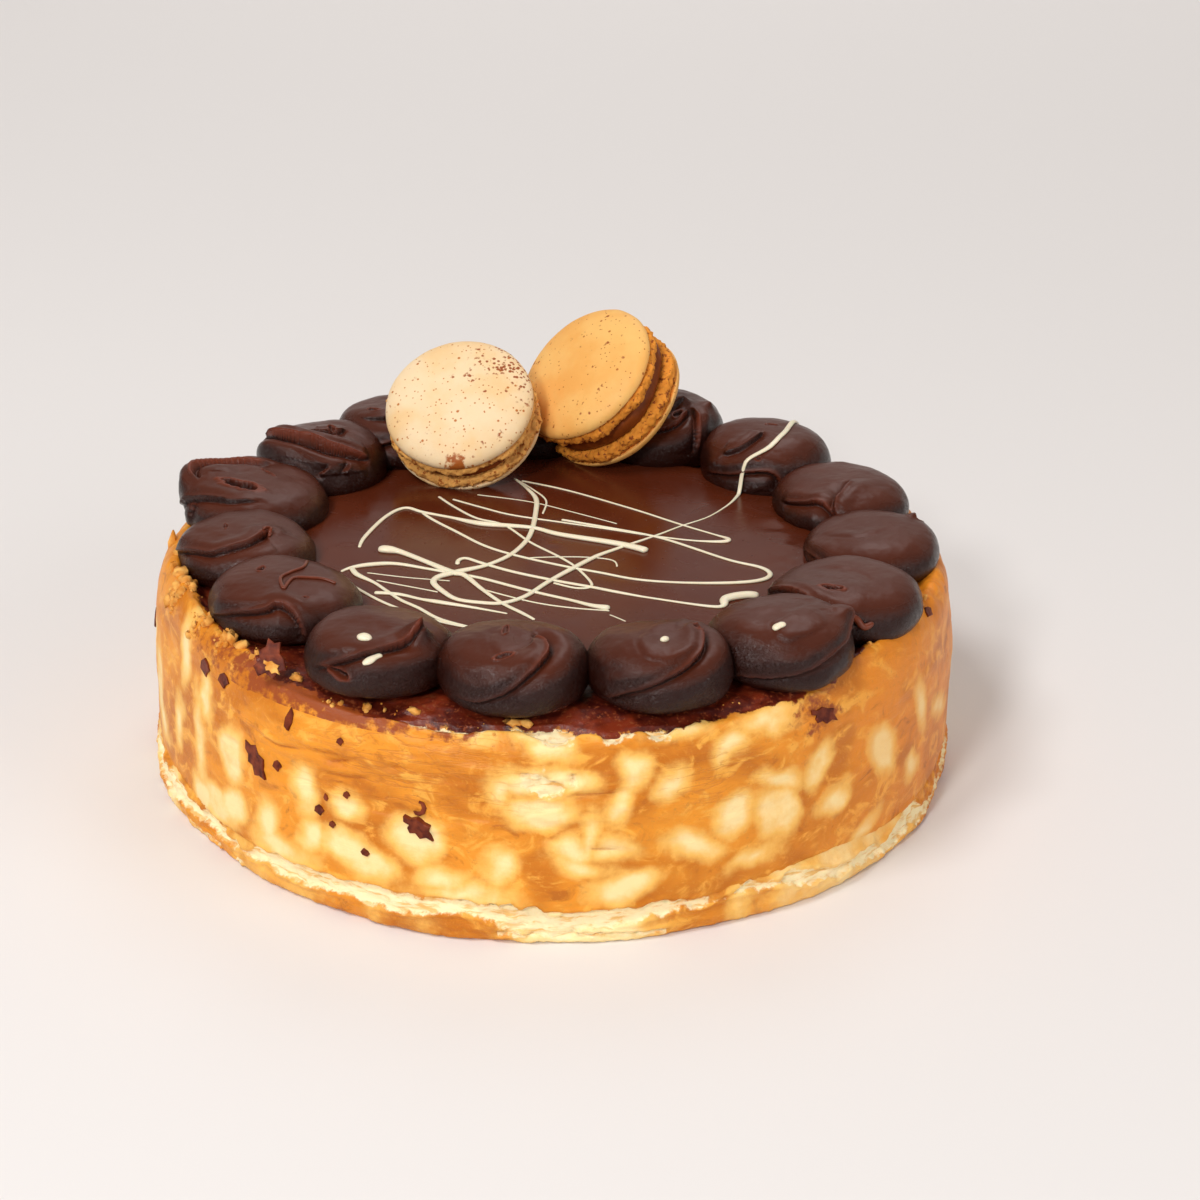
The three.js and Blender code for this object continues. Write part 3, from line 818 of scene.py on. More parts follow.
# %% Material: poured ganache
def poured_ganache():
    """Chocolate and cream, set level: dark red-brown, smooth and shiny, with tiny bubbles."""
    finish, tree, shader, place = new_finish("poured_ganache", IOR=1.45, Specular_IOR_Level=0.22)
    clouds = node(tree, "ShaderNodeTexNoise", {
        "Vector": place, "Scale": per_metre(30), "Detail": 3}).outputs["Fac"]
    cocoa = node(tree, "ShaderNodeMix", {
        0: clouds, 6: linear("#4a1b0b"), 7: linear("#602a16")}, data_type="RGBA").outputs[2]
    streaks = node(tree, "ShaderNodeTexNoise", {
        "Vector": place, "Scale": per_metre(14), "Detail": 4, "Distortion": 1.0}).outputs["Fac"]
    gloss = node(tree, "ShaderNodeMapRange", {
        "Value": streaks, "From Min": 0.3, "From Max": 0.7, "To Min": 0.16, "To Max": 0.30}).outputs[0]
    bubbles = node(tree, "ShaderNodeTexVoronoi", {
        "Vector": place, "Scale": per_metre(3.5)}).outputs["Distance"]
    pinholes = node(tree, "ShaderNodeMapRange", {
        "Value": bubbles, "From Min": 0.03, "From Max": 0.12, "To Min": 0.0, "To Max": 1.0}).outputs[0]
    surface = node(tree, "ShaderNodeMath", {
        0: streaks, 1: 0.8, 2: pinholes}, operation="MULTIPLY_ADD").outputs[0]
    complete(tree, shader, cocoa, surface, 0.35, 0.15, gloss)
    return finish


POURED_FINISH = poured_ganache()
print("made", POURED_FINISH.name)

# %% Making the pool
POOL_TOP = round(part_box("ganache_glaze")[1][2] / MM, 1)
POOL_RADIUS = 78
POOL_COLUMNS = 300
pool_heading = np.linspace(-np.pi, np.pi, POOL_COLUMNS, endpoint=False)
pool_edge = POOL_RADIUS + 1.2 * np.sin(4 * pool_heading) + 0.8 * np.sin(9 * pool_heading + 1)
pool_rows = [(share, CAKE_TOP + 0.3) for share in (0.5, 0.97, 1.0)]
pool_rows += [(1.003, CAKE_TOP + 1.2), (0.995, POOL_TOP - 0.6), (0.98, POOL_TOP)]
pool_rows += [(share, POOL_TOP) for share in np.linspace(0.965, 0.03, 76)]
pool_outline = np.array([(share * pool_edge, high + 0 * pool_edge) for share, high in pool_rows])
pool_rings = turned(pool_outline.transpose(0, 2, 1), pool_heading)
pool_radius = np.hypot(pool_rings[..., 0], pool_rings[..., 1])
RIPPLE_HEADING, RIPPLE_RADIUS = 5, 70
ripple = np.exp(-(angle_from(pool_heading, RIPPLE_HEADING) / 28) ** 2)
ripple = ripple * np.exp(-((pool_radius - RIPPLE_RADIUS) / 7) ** 2)
swell = 0.22 * rough_noise(pool_rings, 30, 2, seed=90)
swell += 0.55 * ripple * rough_noise(pool_rings, 7, 2, seed=91)
swell -= 0.2 * ramp(58, 40, pool_radius)
pool_rings[..., 2] += np.where(pool_rings[..., 2] > POOL_TOP - 0.1, swell, 0)
pool = turned_mesh("poured_ganache_pool", pool_rings, (0, 0, CAKE_TOP + 0.3), (0, 0, POOL_TOP))
pool.data.materials.append(POURED_FINISH)
finish_piece(pool, "poured_ganache", "ganache_glaze")

# %% [markdown]
# ## The piped swirls
# A piping bag with a plain round nozzle makes each swirl: a fat flat-topped mound, then the rope
# of ganache turns back over it and is pulled away. Soft ganache keeps no rope shape. What shows
# is one deep crease that climbs from the foot, winds round the front and ends in a curl on top,
# with the upper layer standing proud along it. So a swirl is a mound with its folds drawn on
# it, and a node tree then makes its skin soft and uneven.

# %% Material: piped ganache
def piped_ganache():
    """Cooled ganache: satin on top, and on its steep sides glossy and wrinkled like skin.

    The real wrinkles are half as wide. They are drawn wide enough to show."""
    finish, tree, shader, place = new_finish("piped_ganache", IOR=1.45, Specular_IOR_Level=0.3)
    clouds = node(tree, "ShaderNodeTexNoise", {
        "Vector": place, "Scale": per_metre(16), "Detail": 3}).outputs["Fac"]
    cocoa = node(tree, "ShaderNodeMix", {
        0: clouds, 6: linear("#471c0d"), 7: linear("#582817")}, data_type="RGBA").outputs[2]
    # Painted shade: the steep sides are painted darker than the tops, which face the light.
    facing = node(tree, "ShaderNodeSeparateXYZ", {
        0: node(tree, "ShaderNodeNewGeometry").outputs["Normal"]}).outputs["Z"]
    steep = node(tree, "ShaderNodeMapRange", {
        "Value": facing, "From Min": 0.97, "From Max": 0.4, "To Min": 0.0, "To Max": 1.0}).outputs[0]
    cocoa = node(tree, "ShaderNodeMix", {
        0: steep, 6: cocoa, 7: linear("#280e08")}, data_type="RGBA").outputs[2]
    thin = node(tree, "ShaderNodeAttribute", attribute_name="thin").outputs["Fac"]
    cocoa = node(tree, "ShaderNodeMix", {
        0: thin, 6: cocoa, 7: linear("#8a3f28")}, data_type="RGBA").outputs[2]
    smooth = node(tree, "ShaderNodeTexNoise", {
        "Vector": place, "Scale": per_metre(7), "Detail": 3}).outputs["Fac"]
    satin = node(tree, "ShaderNodeMath", {0: steep, 1: -0.17, 2: 0.27}, operation="MULTIPLY_ADD").outputs[0]
    gloss = node(tree, "ShaderNodeMath", {
        0: smooth, 1: 0.12, 2: satin}, operation="MULTIPLY_ADD").outputs[0]
    stir = node(tree, "ShaderNodeTexNoise", {
        "Vector": place, "Scale": per_metre(2.5), "Detail": 2}).outputs["Color"]
    stirred = node(tree, "ShaderNodeVectorMath", {
        0: place, 1: stir, 2: (1.6 * MM,) * 3}, operation="MULTIPLY_ADD").outputs[0]
    cells = node(tree, "ShaderNodeTexVoronoi", {
        "Vector": stirred, "Scale": per_metre(2.1)}, feature="SMOOTH_F1").outputs["Distance"]
    ripples = node(tree, "ShaderNodeTexNoise", {
        "Vector": place, "Scale": per_metre(1.4), "Detail": 2, "Distortion": 1.2}).outputs["Fac"]
    wrinkles = node(tree, "ShaderNodeMix", {0: 0.5, 2: cells, 3: ripples}).outputs[0]
    strength = node(tree, "ShaderNodeMath", {0: steep, 1: 0.9, 2: 0.1}, operation="MULTIPLY_ADD").outputs[0]
    complete(tree, shader, cocoa, wrinkles, strength, 0.3, gloss)
    return finish


PIPED_FINISH = piped_ganache()
print("made", PIPED_FINISH.name)

# %% Node tree: ganache skin
def ganache_skin():
    tree, given = new_tree(
        "ganache skin", Softness=1, Lump_Size=0.008, Lump_Depth=0.0006, Seed=0.0,
        Finish="NodeSocketMaterial")
    place = node(tree, "GeometryNodeInputPosition").outputs[0]
    soft = node(tree, "GeometryNodeBlurAttribute", {
        "Value": place, "Iterations": given["Softness"]}, data_type="FLOAT_VECTOR").outputs[0]
    smoothed = node(tree, "GeometryNodeSetPosition", {
        "Geometry": given["Geometry"], "Position": soft}).outputs[0]
    uneven = pushed_out(tree, smoothed, given["Lump Size"], given["Lump Depth"], given["Seed"], 0.5)
    close_tree(tree, uneven, given["Finish"])
    return tree


GANACHE_SKIN = ganache_skin()
print("made", GANACHE_SKIN.name)

# %% [markdown]
# Each swirl has a row: its place on the cake, its size and what can be seen on it. A place on a
# swirl is a heading round its own middle, with the cake's front at 270 degrees, and how far up
# from its foot (0) to the middle of its top (1) it lies.
# - A fold is a line of places, each with a strength. The skin stands proud on the left of the
#   line, which is the upper side for a line that winds round to the right.
# - A hole is a place, its half length, half width, tilt in degrees and depth.
# - A pull is a place, how far it is drawn to the right, back and up, and the width drawn with it.

# %% The rows
SWIRLS = [
    dict(angle=-96.5, reach=89, length=39, width=38, height=16, folds=[
        [(205, 0.14, 0), (224, 0.18, 0.8), (244, 0.19, 1), (264, 0.28, 1), (284, 0.43, 1.1),
         (310, 0.58, 1.3), (330, 0.71, 1.4), (336, 0.8, 1.2), (330, 0.86, 0)],
        [(336, 0.8, 0), (380, 0.84, 0.3), (460, 0.86, 0.3), (540, 0.84, 0.3), (590, 0.72, 0.3),
         (616, 0.6, 0.3), (634, 0.57, 0)]],
        holes=[(260, 0.63, 2.2, 0.9, 30, 0.6), (156, 0.93, 2.4, 0.7, 20, 0.4),
               (306, 0.1, 2.4, 0.5, 0, 0.7)]),
    dict(angle=-73.5, reach=91, length=37, width=37.5, height=16.5, folds=[
        [(208, 0.14, 0), (228, 0.17, 0.9), (242, 0.24, 1), (256, 0.3, 1), (276, 0.39, 1), (294, 0.47, 1.1),
         (318, 0.56, 1.2), (340, 0.63, 1.3), (364, 0.66, 1.3), (388, 0.68, 1.0), (405, 0.74, 0)],
        [(405, 0.75, 0), (414, 0.76, 0.4), (462, 0.88, 0.3), (540, 0.9, 0.3), (584, 0.75, 0.3),
         (614, 0.56, 0.35), (636, 0.53, 0.4), (662, 0.57, 0.3), (685, 0.62, 0)]],
        holes=[(10, 0.7, 1.4, 1.0, 0, 1.0)]),
    dict(angle=-52, reach=92.5, length=39, width=38, height=17, folds=[
        [(215, 0.16, 0), (236, 0.17, 1), (256, 0.19, 1), (274, 0.23, 1), (290, 0.27, 1.1), (306, 0.33, 1.1),
         (336, 0.38, 1.2), (366, 0.42, 1.4), (376, 0.52, 1.0), (380, 0.62, 0)],
        [(400, 0.66, 0), (390, 0.7, 0.3), (316, 0.91, 0.35), (280, 0.85, 0.3), (250, 0.7, 0.3),
         (262, 0.56, 0.35), (274, 0.5, 0.35), (310, 0.56, 0.3), (340, 0.6, 0)]],
        pulls=[(8, 0.46, 1.5, 0, 1.5, 3)]),
    dict(angle=-29.5, reach=88.5, length=41, width=44, height=13.5, folds=[
        [(170, 0.24, 0), (176, 0.32, 0.9), (200, 0.47, 1.2), (216, 0.49, 1.1), (236, 0.45, 1),
         (254, 0.38, 0.9), (268, 0.32, 0.8), (280, 0.27, 0)],
        [(150, 0.6, 0), (120, 0.8, 0.25), (60, 0.9, 0.3), (-30, 0.8, 0.3), (-70, 0.66, 0)]],
        holes=[(242, 0.69, 3.0, 1.3, 8, 1.8)]),
    dict(angle=-4, reach=88.5, length=38, width=43, height=12.5, folds=[
        [(180, 0.24, 0), (188, 0.26, 0.8), (214, 0.28, 1), (226, 0.24, 0.9), (234, 0.18, 0)],
        [(176, 0.45, 0), (200, 0.56, 0.3), (240, 0.72, 0.4), (300, 0.85, 0.35), (350, 0.8, 0)]],
        holes=[(34, 0.43, 1.5, 1.0, 0, 1.2)],
        pulls=[(40, 0.47, 0.5, 0, 1.2, 1.4)]),
    dict(angle=19, reach=88, length=38.5, width=42.5, height=14, folds=[
        [(305, 0.92, 0), (286, 0.84, 0.9), (262, 0.66, 1), (256, 0.46, 1.1), (262, 0.29, 1), (266, 0.2, 0)],
        [(192, 0.3, 0), (204, 0.35, 0.9), (222, 0.42, 1), (240, 0.48, 1.2), (250, 0.43, 1.3),
         (256, 0.35, 1.1), (260, 0.26, 0.8), (263, 0.18, 0)]]),
    dict(angle=43, reach=86.5, length=39, width=41, height=17.5, folds=[
        [(198, 0.2, 0), (210, 0.25, 0.9), (232, 0.3, 1.1), (250, 0.36, 1.2), (268, 0.37, 1.3),
         (276, 0.31, 1.3), (277, 0.21, 0.9), (277, 0.14, 0)],
        [(212, 0.46, 0), (220, 0.51, 0.8), (232, 0.63, 0.9), (244, 0.85, 0.8), (250, 0.92, 0)]],
        holes=[(258, 0.5, 0.8, 0.6, 0, 0.6), (60, 0.9, 1.6, 0.7, 30, 0.7)]),
    dict(angle=68.5, reach=88, length=40, width=40, height=19, folds=[
        [(200, 0.3, 0), (230, 0.4, 0.9), (262, 0.5, 1.1), (286, 0.55, 1.3), (300, 0.62, 1.4),
         (312, 0.66, 1), (320, 0.7, 0)],
        [(330, 0.75, 0), (318, 0.6, 1.1), (308, 0.49, 1.2), (302, 0.31, 1), (300, 0.2, 0)],
        [(230, 0.62, 0), (262, 0.72, 0.9), (300, 0.8, 1), (350, 0.78, 0)]],
        holes=[(292, 0.66, 2.2, 1.0, 40, 1.4)],
        pulls=[(330, 0.82, 1, 0, 2.0, 2.6), (350, 0.6, 1, 0, 1.0, 2.0)]),
    dict(angle=95, reach=87, length=38, width=40, height=18, folds=[
        [(200, 0.22, 0), (230, 0.32, 1), (280, 0.48, 1), (330, 0.62, 1.2), (370, 0.8, 0)]]),
    dict(angle=122.5, reach=91, length=38, width=40, height=18, folds=[
        [(235, 0.3, 0), (252, 0.35, 1), (270, 0.41, 1.1), (290, 0.37, 1), (310, 0.3, 0)],
        [(200, 0.5, 0), (235, 0.6, 0.6), (285, 0.7, 0.7), (330, 0.75, 0)],
        [(236, 0.2, 0), (250, 0.18, 0.8), (266, 0.18, 0.8), (280, 0.1, 0)]],
        holes=[(222, 0.73, 2.0, 1.0, 10, 1.2)]),
    dict(angle=142.5, reach=88, length=37, width=41, height=17, folds=[
        [(176, 0.45, 0), (190, 0.58, 1.8), (222, 0.72, 2.4), (256, 0.74, 2.8), (284, 0.68, 2.8),
         (306, 0.61, 2.4), (322, 0.48, 1.5), (330, 0.42, 0)],
        [(200, 0.84, 0), (250, 0.92, 0.9), (330, 0.94, 1), (370, 0.86, 1), (390, 0.76, 0)],
        [(278, 0.47, 0), (278, 0.42, 0.8), (272, 0.36, 0.8), (278, 0.3, 0)],
        [(298, 0.5, 0), (300, 0.44, 0.8), (294, 0.37, 0.8), (298, 0.29, 0)]],
        holes=[(8, 0.92, 2.2, 0.9, 20, 1.0)],
        pulls=[(205, 0.62, -3, -1, 1.5, 9)]),
    dict(angle=166, reach=89, length=41, width=45, height=14, folds=[
        [(180, 0.16, 0), (190, 0.2, 0.8), (208, 0.36, 0.9), (232, 0.49, 0.9), (254, 0.5, 0.7),
         (272, 0.54, 0.6), (290, 0.5, 0)],
        [(198, 0.55, 0), (184, 0.5, 1.4), (160, 0.5, 1.8), (130, 0.56, 2), (104, 0.6, 1.8), (70, 0.6, 0)],
        [(212, 0.1, 0), (214, 0.2, 0.6), (212, 0.32, 0.6), (214, 0.4, 0)]],
        holes=[(246, 0.78, 6.0, 2.4, 4, 2.6), (52, 0.86, 2.2, 0.5, 0, 0.6)],
        pulls=[(170, 0.46, -3, 1, 3.5, 9)]),
    dict(angle=-171, reach=86, length=38, width=42, height=13, folds=[
        [(180, 0.23, 0), (194, 0.27, 0.9), (228, 0.41, 1), (246, 0.47, 1), (276, 0.64, 1.1),
         (300, 0.73, 1.2), (318, 0.77, 1.4), (330, 0.75, 1.2), (322, 0.69, 0)]],
        holes=[(186, 0.81, 1.6, 0.4, 0, 0.8)]),
    dict(angle=-146, reach=85, length=39.5, width=43.5, height=13.5, folds=[
        [(198, 0.19, 0), (212, 0.23, 0.9), (236, 0.33, 1), (258, 0.41, 1.1), (268, 0.49, 1.2),
         (278, 0.44, 1.3), (284, 0.32, 1.2), (287, 0.18, 0.9), (288, 0.08, 0)]],
        holes=[(160, 0.78, 1.7, 0.9, 10, 1.2), (296, 0.56, 0.7, 0.6, 0, 0.6)]),
    dict(angle=-118.5, reach=91.5, length=38.5, width=38.5, height=15.5, folds=[
        [(205, 0.2, 0), (222, 0.29, 0.9), (242, 0.39, 1), (262, 0.49, 1), (282, 0.55, 1.1),
         (302, 0.58, 1.3), (318, 0.6, 1.5), (328, 0.62, 0.8), (334, 0.63, 0)]],
        holes=[(240, 0.29, 3.4, 1.1, -10, 1.6)],
        pulls=[(322, 0.61, 1.5, 0, 4.5, 3.0)]),
]
MOUND_OUTLINE = [
    (0.82, 0.02), (0.95, 0.12), (1.0, 0.31), (0.975, 0.54), (0.885, 0.74), (0.73, 0.875), (0.5, 0.945),
    (0.25, 0.965), (0.02, 0.97)]
SWIRL_COLUMNS = 280
SWIRL_ROWS = 101
INNER_SLOPE = 0.14
print(len(SWIRLS), "swirls of", SWIRL_ROWS * SWIRL_COLUMNS, "points each")

# %% Shaping a swirl
def mound(row):
    """The plain swirl: rings of points in mm, from its foot to the middle of its top."""
    spin = math.radians(row["angle"])
    around = np.linspace(-np.pi, np.pi, SWIRL_COLUMNS, endpoint=False)
    half_length, half_width = row["length"] / 2, row["width"] / 2
    reach = 1 / np.hypot(np.cos(around - spin) / half_length, np.sin(around - spin) / half_width)
    corners = np.array([(share * reach, high * row["height"] + 0 * reach) for share, high in MOUND_OUTLINE])
    outline = through(corners.transpose(0, 2, 1), SWIRL_ROWS)
    middle = np.array((row["reach"] * math.cos(spin), row["reach"] * math.sin(spin), CAKE_TOP))
    return turned(outline, around) + middle, middle


def on_mound(rings, places):
    """Points on a mound at places (heading in degrees, share of the way up)."""
    places = np.asarray(places, float)
    column = (places[:, 0] + 180) % 360 / 360 * SWIRL_COLUMNS
    line = np.clip(places[:, 1], 0, 0.999) * (SWIRL_ROWS - 1)
    i, j = line.astype(int), column.astype(int)
    after = (j + 1) % SWIRL_COLUMNS
    u, v = (line - i)[:, None], (column - j)[:, None]
    low = rings[i, j] * (1 - v) + rings[i, after] * v
    high = rings[i + 1, j] * (1 - v) + rings[i + 1, after] * v
    return low * (1 - u) + high * u


FOLD_STEPS = 56
FOLD_REACH = 4
ROLL_HEIGHT = 0.7
HOLLOW_DEPTH = 1.75
HOLLOW_WIDTH = 1.9
FAINT_STEP = 1.1


def fold_relief(rings, normals, places):
    """How far a fold lifts the skin on its upper side and draws it in below, and its thin edge.

    A strong fold has a sharp edge. A faint one is a soft step with a shallow groove."""
    rows = np.array(places, float)
    corners = np.concatenate([on_mound(rings, rows), rows[:, 2:]], 1)[:, None]
    line = through(corners, FOLD_STEPS)[:, 0]
    gap = np.full(rings.shape[:2], 99.0)
    strength, upper = np.zeros(gap.shape), np.zeros(gap.shape, bool)
    for start, end in zip(line[:-1], line[1:]):
        along = end[:3] - start[:3]
        off = rings - start[:3]
        t = np.clip((off @ along) / (along @ along), 0, 1)
        off = off - t[..., None] * along
        inward = (off * normals).sum(-1)
        flat = np.linalg.norm(off - inward[..., None] * normals, axis=-1)
        nearer = (flat < gap) & (np.abs(inward) < FOLD_REACH)
        gap = np.where(nearer, flat, gap)
        strength = np.where(nearer, start[3] + t * (end[3] - start[3]), strength)
        upper = np.where(nearer, (np.cross(normals, along) * off).sum(-1) > 0, upper)
    roll = ROLL_HEIGHT * (np.exp(-((gap - 3.0) / 2.4) ** 2) + np.exp(-(gap / 1.1) ** 2))
    hollow = 0.35 * np.exp(-((gap - 5.5) / 2.5) ** 2) - HOLLOW_DEPTH * np.exp(-gap / HOLLOW_WIDTH)
    thin = np.clip(strength - 0.85, 0, 0.6) * np.exp(-(gap / 0.9) ** 2) * upper
    sharp = np.where(upper, roll, hollow)
    faint = np.where(upper, FAINT_STEP, -FAINT_STEP) * (1 - np.exp(-(gap / 1.4) ** 2)) * np.exp(-gap / 3.5)
    faint -= 0.5 * np.exp(-(gap / 0.9) ** 2)
    share = ramp(0.3, 0.8, strength)
    return strength * (share * sharp + (1 - share) * faint), thin


def hole_relief(rings, normals, row, seed):
    """A torn hole with its ragged lip."""
    turned_to, level, long, wide, tilt, depth = row
    middle = on_mound(rings, [(turned_to, level)])[0]
    nearest = np.linalg.norm(rings - middle, axis=-1).argmin()
    normal = normals.reshape(-1, 3)[nearest]
    sideways = np.cross((0, 0, 1), normal)
    sideways = sideways / np.linalg.norm(sideways)
    upward = np.cross(normal, sideways)
    off = rings - middle
    c, s = math.cos(math.radians(tilt)), math.sin(math.radians(tilt))
    u, v = off @ sideways, off @ upward
    reach = np.hypot((u * c + v * s) / long, (v * c - u * s) / wide)
    reach = reach + 0.22 * rough_noise(rings, 1.6, 2, seed) + 9 * (np.abs(off @ normal) > FOLD_REACH)
    lip = np.exp(-((reach - 1.12) / 0.2) ** 2)
    return 0.4 * lip - depth * (1 - ramp(0.62, 1.0, reach)), 0.45 * lip


def pipe_swirl(number, row):
    rings, middle = mound(row)
    normals = ring_normals(rings)
    relief = 0.55 * rough_noise(rings, 13, 2, seed=200 + number)
    thin = np.zeros(relief.shape)
    for places in row.get("folds", []):
        lift, edge = fold_relief(rings, normals, places)
        relief, thin = relief + lift, np.maximum(thin, edge)
    for seed, hole in enumerate(row.get("holes", []), 10 * number):
        lift, edge = hole_relief(rings, normals, hole, seed)
        relief, thin = relief + lift, np.maximum(thin, edge)
    shaped = rings + normals * relief[..., None]
    for turned_to, level, *draw, spread in row.get("pulls", []):
        gap = np.linalg.norm(rings - on_mound(rings, [(turned_to, level)])[0], axis=-1)
        shaped = shaped + np.exp(-(gap / spread) ** 2)[..., None] * np.array(draw)
    inward = 1 - np.hypot(shaped[..., 0], shaped[..., 1]) / row["reach"]
    sink = 1 - INNER_SLOPE * ramp(0, row["length"] / 2 / row["reach"], inward)
    shaped[..., 2] = np.maximum(CAKE_TOP + (shaped[..., 2] - CAKE_TOP) * sink, CAKE_TOP + 0.3)
    foot = middle + (0, 0, 0.3)
    crown = shaped[-1].mean(0)
    piece = turned_mesh(f"piped_swirl_{number:02d}", shaped, foot, crown, thin=thin)
    add_tree(
        piece, GANACHE_SKIN, Softness=1, Lump_Size=6 * MM, Lump_Depth=0.7 * MM, Seed=float(number),
        Finish=PIPED_FINISH)
    return baked(piece)


# %% Piping them
swirl_pieces = []
for number, row in enumerate(SWIRLS, 1):
    piece = pipe_swirl(number, row)
    finish_piece(piece, "piped_ganache", f"ganache_swirl_{number:02d}")
    swirl_pieces.append(piece)

# %% [markdown]
# ## The macarons
# A shell is piped almond meringue. In the oven its top sets smooth while the batter below
# lifts it on a ruffled, porous foot. Both macarons lean on the swirls at the back. Each shell
# is a turned outline, and the relief tree of the biscuit base roughens its foot.

# %% Materials: macaron shells and filling
def macaron_shell(name, crown, toasted, foot_pale, foot_dark, speck, speck_share):
    """Almond meringue: matt like eggshell, flecked with ground almond skin, toasted at its foot."""
    finish, tree, shader, place = new_finish(
        name, IOR=1.45, Subsurface_Weight=0.08, Subsurface_Scale=0.003)
    shader.inputs["Subsurface Radius"].default_value = (1.0, 0.6, 0.35)

    def marked(attribute, wobble, source):
        """A number stored on the shell, made uneven by a noise."""
        value = node(tree, "ShaderNodeAttribute", attribute_name=attribute).outputs["Fac"]
        return node(tree, "ShaderNodeMath", {
            0: source, 1: wobble, 2: value}, operation="MULTIPLY_ADD").outputs[0]

    fine, pored, clouds, patchy = (node(tree, "ShaderNodeTexNoise", {
        "Vector": place, "Scale": per_metre(size), "Detail": detail, "Roughness": roughness}).outputs["Fac"]
        for size, detail, roughness in ((1.1, 4, 0.7), (1.7, 3, 0.6), (13, 3, 0.5), (4, 2, 0.5)))
    colour = blend(tree, crown, toasted, (clouds, 0.35, 0.7))
    for apart, share in ((1.4, speck_share), (2.5, 0.4 * speck_share)):
        cells = node(tree, "ShaderNodeTexVoronoi", {"Vector": place, "Scale": per_metre(apart)})
        chosen = node(tree, "ShaderNodeSeparateXYZ", {0: cells.outputs["Color"]}).outputs["X"]
        colour = blend(
            tree, colour, speck, (cells.outputs["Distance"], 0.22, 0.12), (chosen, share + 1e-4, share))
    colour = blend(tree, colour, foot_dark, (marked("toast", 1.2, pored), 0.95, 1.2))
    blots = node(tree, "ShaderNodeTexVoronoi", {
        "Vector": place, "Scale": per_metre(1.25)}).outputs["Distance"]
    wobbly = node(tree, "ShaderNodeMath", {0: fine, 1: 0.7, 2: blots}, operation="MULTIPLY_ADD").outputs[0]
    colour = blend(tree, colour, "#9a4a14", (wobbly, 0.85, 0.65), (marked("spots", 2.4, patchy), 1.5, 1.75))
    lace = blend(tree, foot_dark, foot_pale, (pored, 0.34, 0.46))
    foot = node(tree, "ShaderNodeAttribute", attribute_name="crumbly").outputs["Fac"]
    colour = blend(tree, colour, lace, (foot, 0.1, 0.7))
    rough = node(tree, "ShaderNodeMapRange", {"Value": foot, "To Min": 0.55, "To Max": 0.85}).outputs[0]
    complete(tree, shader, colour, fine, 0.4, 0.25, rough)
    return finish


CREAM_SHELL = macaron_shell(
    "cream_macaron_shell", "#f1d5ab", "#eec68e", "#eaaa58", "#a85816", "#bc6c22", 0.75)
ORANGE_SHELL = macaron_shell(
    "orange_macaron_shell", "#f4bd6b", "#efac56", "#e8922e", "#8f420c", "#b5651a", 0.5)
# Chocolate and coffee cream: brown, satin, a little uneven where it was pressed out.
FILLING = clouded_finish(
    "macaron_filling_cream", "#5e2409", "#9a4c14", 3, 4, 0.5, 0.4,
    IOR=1.46, Roughness=0.5, Specular_IOR_Level=0.25)
print("made", CREAM_SHELL.name, ORANGE_SHELL.name, FILLING.name)

# %% Shapes and places of the macarons
MACARONS = {
    "cream": dict(radius=22.4, middle=(-28.2, 56.2, 77.8), heading=-105.2, pitch=51.8,
                  half_filling=1.8, foot=3.2, finish=CREAM_SHELL),
    "orange": dict(radius=22.9, middle=(13.2, 72.4, 81.6), heading=-143.8, pitch=44.0,
                   half_filling=2.9, foot=4.2, finish=ORANGE_SHELL),
}
TOAST_MARKS = [(-29.5, 36.5, 69.5, 4.2), (-48.5, 57.8, 80, 3.6)]
SPOT_MARKS = [(-13.4, 58.5, 91.5, 8.5), (-23, 62, 92.5, 3.5)]
DOME_HEIGHT = 6.5
DOME_LIP = 0.6
DOME_FULLNESS = 2.3
SHELL_COLUMNS = 330
FILLING_COLUMNS = 160
FILLING_BULGE = [
    (-1, 12), (-1, 1.2), (-0.75, 0.3), (-0.3, -0.25), (0.3, -0.3), (0.75, 0.2), (1, 1.2), (1, 12)]
print(len(MACARONS), "macarons,", [2 * row["radius"] for row in MACARONS.values()], "mm across")


def shell_rings(row, seed):
    """A shell with its foot on z = 0, as rings, and how much of the foot's lace each point has."""
    around = np.linspace(0, 2 * np.pi, SHELL_COLUMNS, endpoint=False)
    ruffle = 0.35 * np.sin(7 * around + 1) + 0.2 * np.sin(11 * around)
    skirt = row["radius"] - 0.9 + ruffle
    foot, level = row["foot"], np.zeros_like(around)
    skirt_rows = through(np.array([
        (skirt - 1.0, level), (skirt + 0.5, 0.15 * foot + level), (skirt + 1.0, 0.5 * foot + level),
        (skirt + 0.5, 0.85 * foot + level), (skirt - 0.7, foot + 0.3 + level),
    ]).transpose(0, 2, 1), 17)
    t = np.sin(np.linspace(0, 0.985, 44) * np.pi / 2)
    bow = row["radius"] * (1 - t ** DOME_FULLNESS) ** (1 / DOME_FULLNESS)
    rise = foot + DOME_LIP + t * (DOME_HEIGHT - DOME_LIP)
    dome = np.stack([bow[:, None] + 0 * around, rise[:, None] + 0 * around], -1)
    inner = [skirt_rows[0] * (share, 1) for share in (0.5, 0.9)]
    under_lip = np.stack([row["radius"] - 0.35 + level, foot + 0.32 + level], -1)
    outline = np.concatenate([inner, skirt_rows, [under_lip], dome])
    shell = turned(outline, around)
    lace = np.zeros(outline.shape[:2])
    lace[2:2 + len(skirt_rows)] = 1.0
    lace[:2] = 0.2
    lace[2 + len(skirt_rows)] = 0.3
    dome_rows = slice(3 + len(skirt_rows), None)
    bumps = 0.22 * rough_noise(shell[dome_rows], 11, 3, seed)
    shell[dome_rows] += ring_normals(shell)[dome_rows] * bumps[..., None]
    return shell, lace


